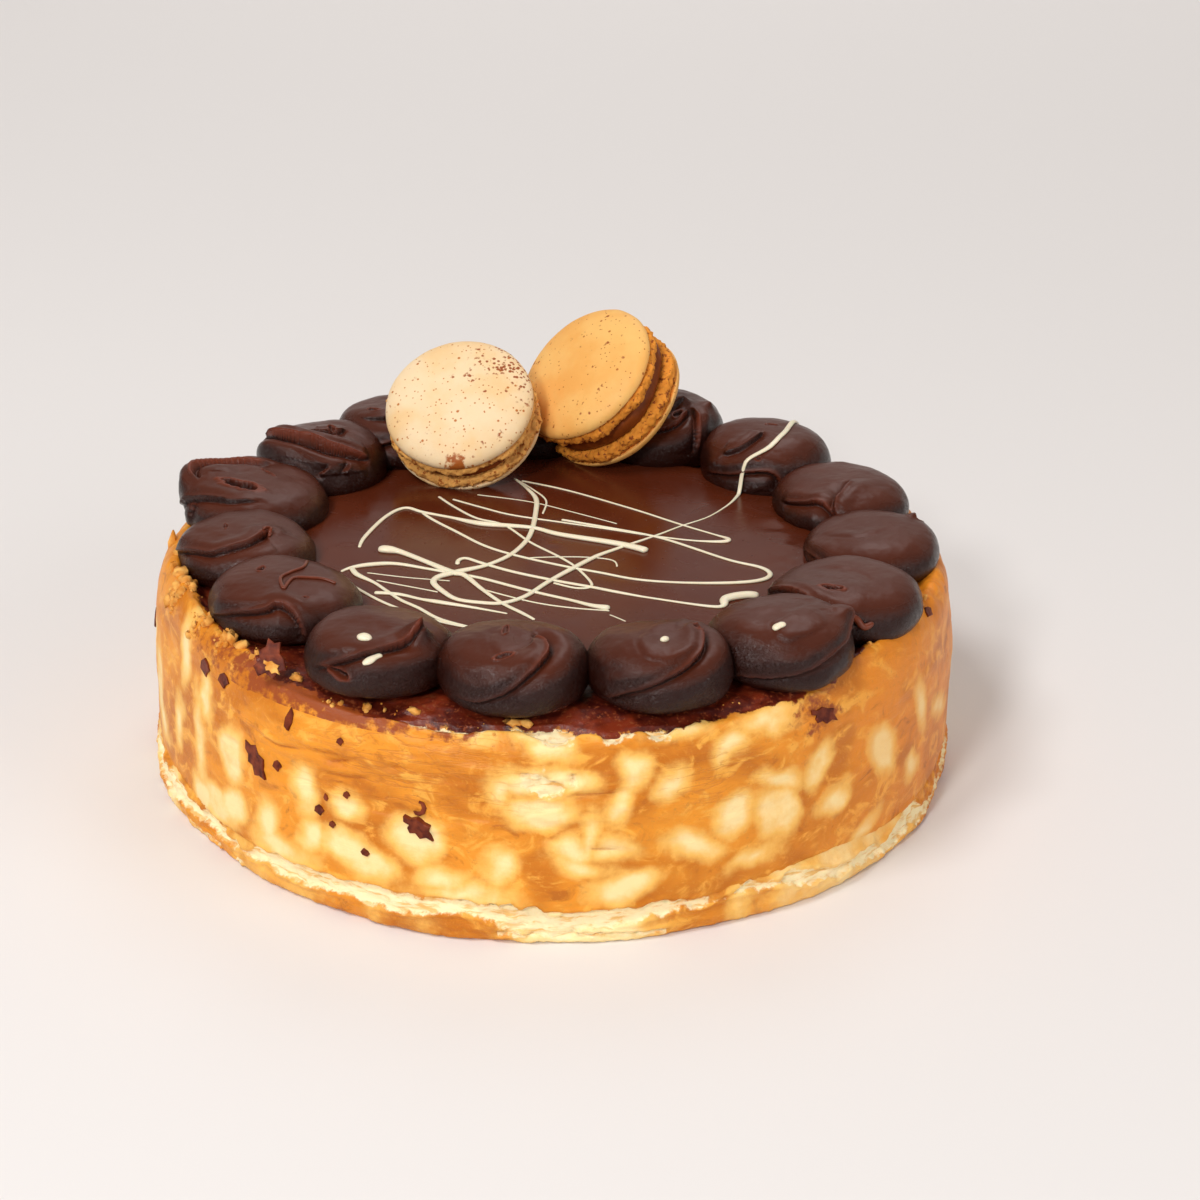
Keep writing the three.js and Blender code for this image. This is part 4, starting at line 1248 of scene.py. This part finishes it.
def macaron_turn(row):
    pitch, turned_to = math.radians(row["pitch"]), math.radians(row["heading"])
    axis = Vector((
        math.cos(pitch) * math.cos(turned_to), math.cos(pitch) * math.sin(turned_to), math.sin(pitch)))
    return np.array(Vector((0, 0, 1)).rotation_difference(axis).to_matrix())


def set_in_place(points, row):
    return points @ macaron_turn(row).T + row["middle"]


def marks_on(rings, marks):
    """1 at the middle of each mark (x, y, z, radius in mm), falling to 0 round it."""
    gaps = [np.linalg.norm(rings - mark[:3], axis=-1) / mark[3] for mark in marks]
    return np.exp(-np.min(gaps, axis=0) ** 2)


# %% Baking the shells and pressing them together
def bake_shell(flavour, half, sign, seed, row):
    """The top shell (sign 1), or the bottom one (-1), which is turned over."""
    shell, lace = shell_rings(row, seed)
    if sign < 0:
        shell = shell * (1, -1, -1)
    inner = sign * row["half_filling"]
    shell[..., 2] += inner
    peak = sign * (row["half_filling"] + row["foot"] + DOME_HEIGHT)
    ends = [set_in_place(np.array((0, 0, z)), row) for z in (inner, peak)]
    shell = set_in_place(shell, row)
    piece = turned_mesh(
        f"{flavour}_shell_{half}", shell, *ends, crumbly=lace,
        toast=marks_on(shell, TOAST_MARKS), spots=marks_on(shell, SPOT_MARKS))
    for size, depth, first in ((2.2, 3.2, 0.0), (1.0, 1.4, 5.0)):
        add_tree(piece, CRUMBLY_RELIEF, Crumb_Size=size * MM, Depth=depth * MM, Seed=seed + first,
                 Finish=row["finish"])
    finish_piece(baked(piece), f"{flavour}_macaron_shell", f"macaron_{flavour}_{half}")


def press_filling(flavour, row):
    """The filling, bulging a little between the shells."""
    around = np.linspace(0, 2 * np.pi, FILLING_COLUMNS, endpoint=False)
    edge = row["radius"] - 1.8 + 0.4 * np.sin(3 * around) + 0.3 * np.sin(5 * around + 1)
    half = row["half_filling"] - 0.1
    outline = np.array([(edge - inset, high * half + 0 * around) for high, inset in FILLING_BULGE])
    cream = turned(outline.transpose(0, 2, 1), around)
    ends = [set_in_place(np.array((0, 0, z)), row) for z in (-half, half)]
    piece = turned_mesh(
        f"{flavour}_filling", set_in_place(cream, row), *ends, crumbly=np.ones(cream.shape[:2]))
    add_tree(piece, CRUMBLY_RELIEF, Crumb_Size=2.5 * MM, Depth=0.9 * MM, Seed=7.0, Finish=FILLING)
    finish_piece(baked(piece), "macaron_filling", f"macaron_{flavour}_filling")


for flavour, row in MACARONS.items():
    bake_shell(flavour, "top", 1, 100, row)
    bake_shell(flavour, "bottom", -1, 101, row)
    press_filling(flavour, row)

# %% [markdown]
# ## The white chocolate drizzle
# Melted white chocolate was flicked over the set ganache from a spoon. Each strand is a line
# that droops onto whatever lies below it, so a node tree drops a line from above onto the
# pool and the swirls, and sweeps a flattened round section along it. The strands are drawn
# on the plan of the pool, in millimetres from the cake's middle.

# %% Node tree: laid strand
DROP_FROM = 100


def laid_strand():
    tree, given = new_tree(
        "laid strand", Step=0.0006, Lift=0.4, Flatness=0.55, Ground="NodeSocketObject",
        Finish="NodeSocketMaterial")
    ground = node(tree, "GeometryNodeObjectInfo", {"Object": given["Ground"]}).outputs["Geometry"]
    fine = node(tree, "GeometryNodeResampleCurve", {
        "Curve": given["Geometry"], "Length": given["Step"]}, mode="LENGTH").outputs[0]
    place = node(tree, "GeometryNodeInputPosition").outputs[0]
    ray = node(tree, "GeometryNodeRaycast", {
        "Target Geometry": ground, "Source Position": place, "Ray Direction": (0, 0, -1),
        "Ray Length": 2 * DROP_FROM * MM})
    radius_of = node(tree, "GeometryNodeInputRadius").outputs[0]
    lift = node(tree, "ShaderNodeMath", {0: radius_of, 1: given["Lift"]}, operation="MULTIPLY").outputs[0]
    offset = node(tree, "ShaderNodeVectorMath", {
        0: ray.outputs["Hit Normal"], "Scale": lift}, operation="SCALE").outputs[0]
    laid = node(tree, "GeometryNodeSetPosition", {
        "Geometry": fine, "Position": ray.outputs["Hit Position"], "Offset": offset}).outputs[0]
    soft = node(tree, "GeometryNodeBlurAttribute", {
        "Value": place, "Iterations": 2}, data_type="FLOAT_VECTOR")
    laid = node(tree, "GeometryNodeSetPosition", {"Geometry": laid, "Position": soft.outputs[0]}).outputs[0]
    laid = node(tree, "GeometryNodeSetCurveNormal", {"Curve": laid}, mode="Z_UP").outputs[0]
    profile = node(tree, "GeometryNodeCurvePrimitiveCircle", {"Resolution": 10, "Radius": 1.0}).outputs[0]
    squash = node(tree, "ShaderNodeCombineXYZ", {"X": 1.0, "Y": given["Flatness"], "Z": 1.0}).outputs[0]
    profile = node(tree, "GeometryNodeTransform", {"Geometry": profile, "Scale": squash}).outputs[0]
    mesh = node(tree, "GeometryNodeCurveToMesh", {
        "Curve": laid, "Profile Curve": profile, "Scale": radius_of, "Fill Caps": True}).outputs[0]
    close_tree(tree, mesh, given["Finish"])
    return tree


LAID_STRAND = laid_strand()
# Cocoa butter and milk: ivory, smooth and softly shiny, a little translucent.
WHITE_CHOCOLATE = clouded_finish(
    "white_chocolate", "#eadcba", "#f3e9cf", 6, 3, 0.3, 0.2,
    IOR=1.46, Roughness=0.3, Subsurface_Weight=0.1, Subsurface_Scale=0.001)
print("made", LAID_STRAND.name, WHITE_CHOCOLATE.name)

# %% [markdown]
# The strands are dropped onto one copy of all the ganache, joined. Each row is a width in
# millimetres and the places that the strand passes through. Where a strand thickens, a place
# has its own width as a third number.

# %% The strands
STRANDS = [
    (1.5, [(-55, -5, 1.0), (-54, 3), (-49, 19), (-44, 26), (-39, 23), (-30, 19), (-21, 14, 2.8),
           (-7, 12, 2.0), (1, 7, 2.4), (18, 0, 3.0), (26, -5, 3.4)]),
    (1.2, [(-39, 23), (-36, 18), (-29, 9), (-21, -1), (-12, -8), (1, -15), (12, -20), (22, -25), (33, -27),
           (48, -27, 1.6), (56, -25, 1.8), (59, -21, 1.8), (57, -16, 1.5), (49, -11), (39, -2), (29, 6),
           (17, 12), (1, 19)]),
    (1.0, [(-35, 36), (-30, 28), (-23, 19), (-15, 14), (-7, 1), (1, -9), (6, -17), (10, -29), (6, -31),
           (-1, -27)]),
    (0.9, [(-31, 34), (-21, 27), (-13, 22), (1, 17), (15, 12), (28, 7), (39, 4), (48, 3, 1.8), (49, 5, 1.8),
           (46, 8), (36, 16), (23, 27), (12, 36), (1, 44), (-11, 50)]),
    (1.8, [(-13, 52, 0.9), (-9, 44, 1.2), (-6, 35), (-6, 23), (-7, 9), (-9, 0), (-13, -9), (-19, -16),
           (-25, -20, 2.4), (-28, -22, 2.6), (-32, -25, 2.4), (-33, -29, 2.2), (-30, -35, 2.0), (-26, -40),
           (-19, -42), (-14, -42), (-8, -37), (-2, -27), (5, -17, 2.0), (11, -9, 1.8), (16, -4, 1.5),
           (28, 7, 0.9), (36, 15, 0.7), (44, 22, 0.6), (50, 31, 0.7), (53, 37, 1.2), (55, 42, 1.6),
           (57, 43, 1.8), (63, 46, 2.0), (67.5, 53, 2.0), (70, 60, 2.0), (73, 70, 2.0), (76, 76, 1.6)]),
    (2.2, [(-50, -6, 4.4), (-46, -7, 4.0), (-43, -8, 2.6), (-35, -15), (-28, -22, 2.8), (-25, -23),
           (-20, -32, 1.6), (-14, -42, 1.4), (-9, -48, 1.4), (-5, -53, 1.0)]),
    (1.4, [(-27, -16), (-27, -13, 1.6), (-25, -11), (-21, -14), (-12, -20), (-2, -25), (9, -30), (17, -34),
           (27, -38, 1.0), (43.5, -43.4, 1.6), (45.4, -38.7, 3.4), (50.7, -35.9, 3.8), (55.3, -35.7, 3.4)]),
    (1.4, [(-59, -22, 0.8), (-56, -19, 1.6), (-51, -17, 2.2), (-44, -16, 1.8), (-35, -19), (-28, -22),
           (-20, -25), (-7, -33), (4, -39), (10, -43, 2.0), (15, -45, 3.2)]),
    (1.3, [(-56, -19, 1.8), (-54, -24, 2.0), (-49, -29), (-45, -35), (-41, -41), (-36, -46), (-30, -53),
           (-20, -59, 1.0)]),
    (1.1, [(-56, -29, 0.7), (-51, -36), (-45, -43), (-38, -49), (-29, -55), (-20, -59, 0.8)]),
    (1.3, [(-49, -36, 1.8), (-42, -37, 1.6), (-36, -40), (-31, -42, 2.0), (-22, -45), (-12, -49, 0.7)]),
    (0.5, [(-52, -22), (-40, -25), (-28, -27)]),
    (0.6, [(-49, -27), (-40, -31), (-31, -35)]),
    (0.7, [(-20, -32), (-7, -40), (4, -44), (15, -46)]),
    (0.5, [(14, -48), (17, -51), (19, -53)]),
    (0.5, [(-24, 38), (-8, 33), (5, 25), (18, 16)]),
    (0.7, [(-13, 52), (-7, 43), (-3, 34), (-4, 23)]),
    (0.6, [(-8, -10), (0, -9), (9, -9), (16, -11), (17, -16)]),
]
STRAND_FULLNESS = 0.85


def through_places(places, width, step=0.8):
    """A smooth line through places (x, y or x, y, width), at the height it is dropped from."""
    rows = np.array([tuple(place) + (width,) * (3 - len(place)) for place in places], float)
    lengths = np.concatenate([[0], np.cumsum(np.hypot(*np.diff(rows[:, :2], axis=0).T))])
    along = np.linspace(0, lengths[-1], max(int(lengths[-1] / step), 6))
    line = spline(rows, np.interp(along, lengths, np.arange(len(rows))))
    end = np.minimum(along, lengths[-1] - along)
    taper = np.sqrt(np.clip(end / (0.5 * line[:, 2]), 0.02, 1))
    points = np.stack([line[:, 0], line[:, 1], np.full(len(line), DROP_FROM)], -1)
    return points, 0.5 * line[:, 2] * taper


def path_object(name, lines):
    """A curve object of open lines. Each line is points in mm and the half width at each."""
    curve = bpy.data.curves.new(name, "CURVE")
    curve.dimensions = "3D"
    for points, widths in lines:
        strand = curve.splines.new("POLY")
        strand.points.add(len(points) - 1)
        coordinates = np.concatenate([points * MM, np.ones((len(points), 1))], 1)
        strand.points.foreach_set("co", coordinates.astype(np.float32).ravel())
        strand.points.foreach_set("radius", (widths * MM).astype(np.float32))
    return new_object(name, curve)


def joined_copy(name, pieces):
    """One mesh of several pieces, to drop things onto."""
    points, faces, start = [], [], 0
    for piece in pieces:
        own = mesh_points(piece) * MM
        points.append(own)
        faces += [[start + i for i in face.vertices] for face in piece.data.polygons]
        start += len(own)
    mesh = bpy.data.meshes.new(name)
    mesh.from_pydata(np.concatenate(points).tolist(), [], faces)
    return new_object(name, mesh)


ground = joined_copy("ganache_ground", [pool] + swirl_pieces)
strands = [through_places(places, width) for width, places in STRANDS]
drizzle = path_object("white_drizzle", [(line, widths * STRAND_FULLNESS) for line, widths in strands])
add_tree(
    drizzle, LAID_STRAND, Step=0.7 * MM, Lift=0.35, Flatness=0.55, Ground=ground, Finish=WHITE_CHOCOLATE)
drizzle = baked(drizzle)
finish_piece(drizzle, "white_chocolate")

# %% White drops on the swirls
DROPS = [
    [(-48.4, -89.4, 2.6), (-46.8, -90.6, 3.4), (-44.8, -92, 2.2)],
    [(-46.8, -97.4, 2.4), (-45, -97, 2.6), (-43.6, -95.8, 1.9), (-42, -94.6, 1.8)],
    [(26.2, -92.2, 3.6), (27.6, -93.8, 4.0)],
    [(54, -84.8, 2.4), (55.5, -84, 2.2), (57.4, -82.8, 2.2)],
    [(-28.8, -96, 0.9), (-28.2, -96, 0.9)],
]
drops = path_object("white_drops", [through_places(places, 2.5, step=0.25) for places in DROPS])
add_tree(drops, LAID_STRAND, Step=0.25 * MM, Lift=0.15, Flatness=0.6, Ground=ground, Finish=WHITE_CHOCOLATE)
finish_piece(baked(drops), "white_chocolate")

# %% [markdown]
# Where the nozzle was torn off a swirl, a string of ganache as thin as a thread fell back
# across the swirls on the left. So thin, it looks red-brown. A thicker torn end lies on a
# swirl on the right. They are laid like the drizzle.

# %% Wisps of ganache
WISPS = [
    [(-70, -58), (-71.5, -51.5), (-69.5, -47.5), (-66.5, -43), (-66, -37.5)],
    [(-70, -58), (-68.5, -51.5), (-66, -50), (-61, -49.5), (-57, -50.5)],
    [(-80, -18.5), (-78, -16), (-78, -20.5)],
    [(75.5, -63.5, 1.2), (77.5, -64.5, 2.2), (80, -64.5, 2.2), (82, -63.5, 1.2)],
]
# A thread of ganache is thin enough for light to redden it, and shiny.
DRAWN_GANACHE = clouded_finish(
    "drawn_out_ganache", "#55210f", "#7d3a22", 4, 3, 0.3, 0.2,
    IOR=1.45, Roughness=0.3, Specular_IOR_Level=0.4)
wisps = path_object("ganache_wisps", [through_places(places, 1.0, step=0.4) for places in WISPS])
add_tree(wisps, LAID_STRAND, Step=0.35 * MM, Lift=0.5, Flatness=0.8, Ground=ground, Finish=DRAWN_GANACHE)
finish_piece(baked(wisps), "piped_ganache")

# %% [markdown]
# ## Chocolate flakes and crumbs
# Splinters of chocolate stuck to the side when the cake was lifted out, and golden crumbs of
# crust lie along the rim. A flake is a thin plate with a jagged outline, laid on the side
# where the picture shows it. The crumbs are scattered by a node tree over the rim, denser
# where the crust broke.

# %% Materials: dark chocolate and loose crumbs
# Broken chocolate is dark red-brown and satin, with a paler bloom on its broken faces.
DARK_CHOCOLATE = clouded_finish(
    "dark_chocolate_splinter", "#4d1509", "#84391c", 2.2, 4, 0.6, 0.3, tones=(0.35, 0.7),
    IOR=1.46, Roughness=0.45, Specular_IOR_Level=0.25)
# Crust rubbed to crumbs is matt, golden to toasted.
GOLDEN_CRUMB = clouded_finish(
    "golden_crust_crumb", "#cf7f25", "#f0b45c", 3, 4, 0.7, 0.3, tones=(0.35, 0.65),
    IOR=1.45, Roughness=0.85)
print("made", DARK_CHOCOLATE.name, GOLDEN_CRUMB.name)

# %% Outlines and places of the flakes
OUTLINES = {
    "leaf": [(-1, 0.95), (-0.5, 0.8), (-0.05, 0.95), (0.3, 0.45), (0.75, 0.25), (0.8, -0.3), (1, -0.95),
             (0.5, -0.85), (0.1, -0.95), (-0.15, -0.4), (-0.6, -0.3), (-0.65, 0.2), (-0.95, 0.45)],
    "jagged": [(-1, 0.9), (-0.55, 0.7), (-0.1, 0.9), (0.35, 0.55), (0.8, 0.4), (0.7, -0.1), (1, -0.95),
               (0.55, -0.7), (0.1, -0.95), (-0.2, -0.5), (-0.6, -0.6), (-0.75, -0.15), (-0.6, 0.2),
               (-1, 0.4)],
    "hook": [(-0.1, 1), (0.6, 0.8), (1, 0.1), (0.8, -0.6), (0.1, -1), (-0.6, -0.9), (-0.9, -0.5),
             (-0.3, -0.5), (0.2, -0.4), (0.4, 0.1), (0.2, 0.6), (-0.2, 0.7)],
    "chip": [(-0.8, 0.5), (-0.1, 1), (0.5, 0.7), (1, 0), (0.5, -0.5), (0.3, -1), (-0.3, -0.7), (-1, -0.4)],
    "shard": [(-0.3, 1), (0.3, 0.5), (0.6, -0.2), (0.3, -1), (-0.4, -0.8), (-0.7, -0.1)],
    "triangle": [(-0.95, -0.45), (-0.6, -0.1), (-0.75, 0.3), (-0.35, 0.55), (-0.3, 0.95), (0.1, 0.75),
                 (0.45, 0.85), (0.5, 0.3), (0.8, 0.05), (1, -0.45), (0.55, -0.6), (0.3, -0.95),
                 (-0.2, -0.7), (-0.6, -0.9)],
}
FLAKES = [
    ("chip", -145, 50, 5, 5), ("chip", -140, 50, 5, 4), ("shard", -126, 49, 4, 6), ("chip", -118, 47, 2, 2),
    ("leaf", -132, 34, 8.5, 8.5), ("chip", -128, 35, 3, 3), ("chip", -121, 27, 3, 3),
    ("shard", -120, 31, 2, 2), ("chip", -117, 33, 2, 2), ("chip", -119, 24, 2, 2),
    ("hook", -107, 33, 3.5, 4), ("jagged", -107, 28, 8, 6), ("shard", -114, 19, 4, 2),
    ("chip", -22, 58, 5, 3), ("jagged", -52, 50, 8, 5), ("chip", 40, 44, 5, 4),
    ("leaf", 63, 30, 4, 6), ("chip", 84, 47, 4, 3), ("jagged", 118, 38, 6, 5), ("shard", 150, 46, 4, 4),
    ("hook", -175, 40, 5, 6), ("leaf", 12, 28, 5, 5), ("chip", 101, 22, 3, 3),
]
FLAKE_THICKNESS = 0.5
FLAKE_ROOT = 1.1
print(len(FLAKES), "flakes on the side, of", len(OUTLINES), "outlines")
body_tree = BVHTree.FromObject(body, bpy.context.evaluated_depsgraph_get())


def place_on_side(turned_to, z):
    """Where a ray towards the cake's axis meets the side, and the side's normal there, in mm."""
    out = Vector((math.cos(math.radians(turned_to)), math.sin(math.radians(turned_to)), 0))
    hit, normal, _, _ = body_tree.ray_cast(out * 0.15 + Vector((0, 0, z * MM)), -out)
    return np.array(hit) / MM, np.array(normal)


def flake(outline, middle, normal, wide, tall, points, faces, root=FLAKE_ROOT):
    """Adds a thin plate to a list of points and faces. Its root lies under the surface."""
    sideways = np.cross((0, 0, 1), normal)
    sideways = sideways / np.linalg.norm(sideways)
    upward = np.cross(normal, sideways)
    ring = np.array(OUTLINES[outline]) * (wide / 2, tall / 2)
    if np.sum(ring[:, 0] * np.roll(ring[:, 1], -1) - ring[:, 1] * np.roll(ring[:, 0], -1)) < 0:
        ring = ring[::-1]
    start, count = len(points), len(ring)
    for height_of, shrink in ((-root, 1.0), (0.7 * FLAKE_THICKNESS, 1.0), (FLAKE_THICKNESS, 0.93)):
        points += [
            middle + sideways * a * shrink + upward * b * shrink + normal * height_of for a, b in ring]
    faces.append([start + i for i in reversed(range(count))])
    faces.append([start + 2 * count + i for i in range(count)])
    for low in (start, start + count):
        faces += [(low + i, low + (i + 1) % count, low + (i + 1) % count + count, low + i + count)
                  for i in range(count)]


def plates(name, finish, slot, points, faces):
    mesh = bpy.data.meshes.new(name)
    mesh.from_pydata((np.array(points) * MM).tolist(), [], faces)
    piece = new_object(name, mesh)
    piece.data.materials.append(finish)
    finish_piece(piece, slot)


# %% Laying the flakes
points, faces = [], []
for outline_name, turned_to, z, wide, tall in FLAKES:
    flake(outline_name, *place_on_side(turned_to, z), wide, tall, points, faces)
RIM_FLAKE = np.array((-70.8, -82.6, 61.8))
RIM_FLAKE_FACES = np.array((-0.25, -0.86, 0.44))
flake("triangle", RIM_FLAKE, RIM_FLAKE_FACES, 9, 10.5, points, faces, root=0.2)
plates("chocolate_splinters", DARK_CHOCOLATE, "dark_chocolate", points, faces)

CRUST_FLAKE = np.array((-107.2, -2.3, 59.6))
CRUST_FLAKE_FACES = np.array((-0.6, -0.75, 0.28))
points, faces = [], []
flake("shard", CRUST_FLAKE, CRUST_FLAKE_FACES, 5, 7, points, faces, root=0.3)
flake("jagged", RIM_FLAKE + (0.4, -1.6, -1.6), RIM_FLAKE_FACES, 4.6, 3.4, points, faces, root=0.3)
plates("crust_flakes", GOLDEN_CRUMB, "biscuit", points, faces)

# %% Node tree: scattered crumbs
FULL_TURN = 6.28


def scattered_crumbs():
    tree, given = new_tree(
        "scattered crumbs", Per_Square_Metre=20000.0, Smallest=0.0002, Largest=0.001, Seed=3,
        Finish="NodeSocketMaterial")
    share = node(tree, "GeometryNodeInputNamedAttribute", {"Name": "crumbs"}, data_type="FLOAT").outputs[0]
    density = node(tree, "ShaderNodeMath", {
        0: share, 1: given["Per Square Metre"]}, operation="MULTIPLY").outputs[0]
    spread = node(tree, "GeometryNodeDistributePointsOnFaces", {
        "Mesh": given["Geometry"], "Density": density, "Seed": given["Seed"]})
    ball = node(tree, "GeometryNodeMeshIcoSphere", {"Radius": 1.0, "Subdivisions": 2}).outputs[0]
    place = node(tree, "GeometryNodeInputPosition").outputs[0]
    lumps = node(tree, "ShaderNodeTexNoise", {
        "Vector": place, "Scale": 2.2, "Detail": 2.0}).outputs["Color"]
    centred = node(tree, "ShaderNodeVectorMath", {
        0: lumps, 1: (0.5, 0.5, 0.5)}, operation="SUBTRACT").outputs[0]
    jag = node(tree, "ShaderNodeVectorMath", {0: centred, "Scale": 2.6}, operation="SCALE").outputs[0]
    lump = node(tree, "GeometryNodeSetPosition", {"Geometry": ball, "Offset": jag}).outputs[0]
    turn = node(tree, "FunctionNodeRandomValue", {
        "Min": (0, 0, 0), "Max": (FULL_TURN,) * 3, "Seed": given["Seed"],
    }, data_type="FLOAT_VECTOR").outputs[0]
    chosen = node(tree, "FunctionNodeRandomValue", {
        "Min": 0.0, "Max": 1.0, "Seed": 9}, data_type="FLOAT").outputs[1]
    few_large = node(tree, "ShaderNodeMath", {0: chosen, 1: 3.0}, operation="POWER").outputs[0]
    size = node(tree, "ShaderNodeMapRange", {
        "Value": few_large, "To Min": given["Smallest"], "To Max": given["Largest"]}).outputs[0]
    longer = node(tree, "FunctionNodeRandomValue", {
        "Min": (0.6, 0.6, 0.5), "Max": (1.5, 1.1, 0.9), "Seed": 4}, data_type="FLOAT_VECTOR").outputs[0]
    shape = node(tree, "ShaderNodeVectorMath", {0: longer, "Scale": size}, operation="SCALE").outputs[0]
    crumbs = node(tree, "GeometryNodeInstanceOnPoints", {
        "Points": spread.outputs["Points"], "Instance": lump, "Rotation": turn, "Scale": shape}).outputs[0]
    close_tree(tree, crumbs, given["Finish"])
    return tree


SCATTERED_CRUMBS = scattered_crumbs()
print("made", SCATTERED_CRUMBS.name)

# %% [markdown]
# Crumbs lie all along the broken rim, and in small heaps on the left of the front. Each heap is
# a heading, its distance from the cake's middle and its spread.

# %% Scattering the crumbs
rim_points = mesh_points(body)
rim_radius = np.hypot(rim_points[:, 0], rim_points[:, 1])
broken = ramp(-0.1, 0.7, rough_noise(rim_points, 12, 2, seed=95))
on_top = rim_points[:, 2] > CAKE_TOP - 3
CRUMB_RADIUS, CRUMB_SPREAD = 104.5, 2.6
crumb_share = np.exp(-((rim_radius - CRUMB_RADIUS) / CRUMB_SPREAD) ** 2) * on_top * broken
CRUMB_HEAPS = [
    (-160, 107, 3), (-151, 106, 2.5), (-143, 105.5, 3), (-121, 107, 2.5), (-116, 107.5, 2),
    (-128, 104, 1.5)]
for turned_to, reach, spread in CRUMB_HEAPS:
    x, y = reach * math.cos(math.radians(turned_to)), reach * math.sin(math.radians(turned_to))
    gap = np.hypot(rim_points[:, 0] - x, rim_points[:, 1] - y)
    crumb_share += 5 * np.exp(-(gap / spread) ** 2) * on_top
scatter_on = new_object("golden_crumbs", body.data.copy())
store(scatter_on.data, "crumbs", crumb_share)
add_tree(
    scatter_on, SCATTERED_CRUMBS, Per_Square_Metre=160000.0, Smallest=0.18 * MM, Largest=2.1 * MM, Seed=3,
    Finish=GOLDEN_CRUMB)
finish_piece(baked(scatter_on), "biscuit")

# %% [markdown]
# ## Last steps
# The ground that the drizzle was dropped onto isn't part of the cake, so it is removed. The
# two boxes, of the solids and of the looks, are printed.

# %% Removing the ground and printing the sizes
bpy.data.objects.remove(ground)
boxes = {
    "cad": [list(corner) for corner in cad_box],
    "visual": [list(corner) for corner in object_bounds()],
}
for label, corners in boxes.items():
    print(label, [[round(v / MM, 1) for v in corner] for corner in corners])
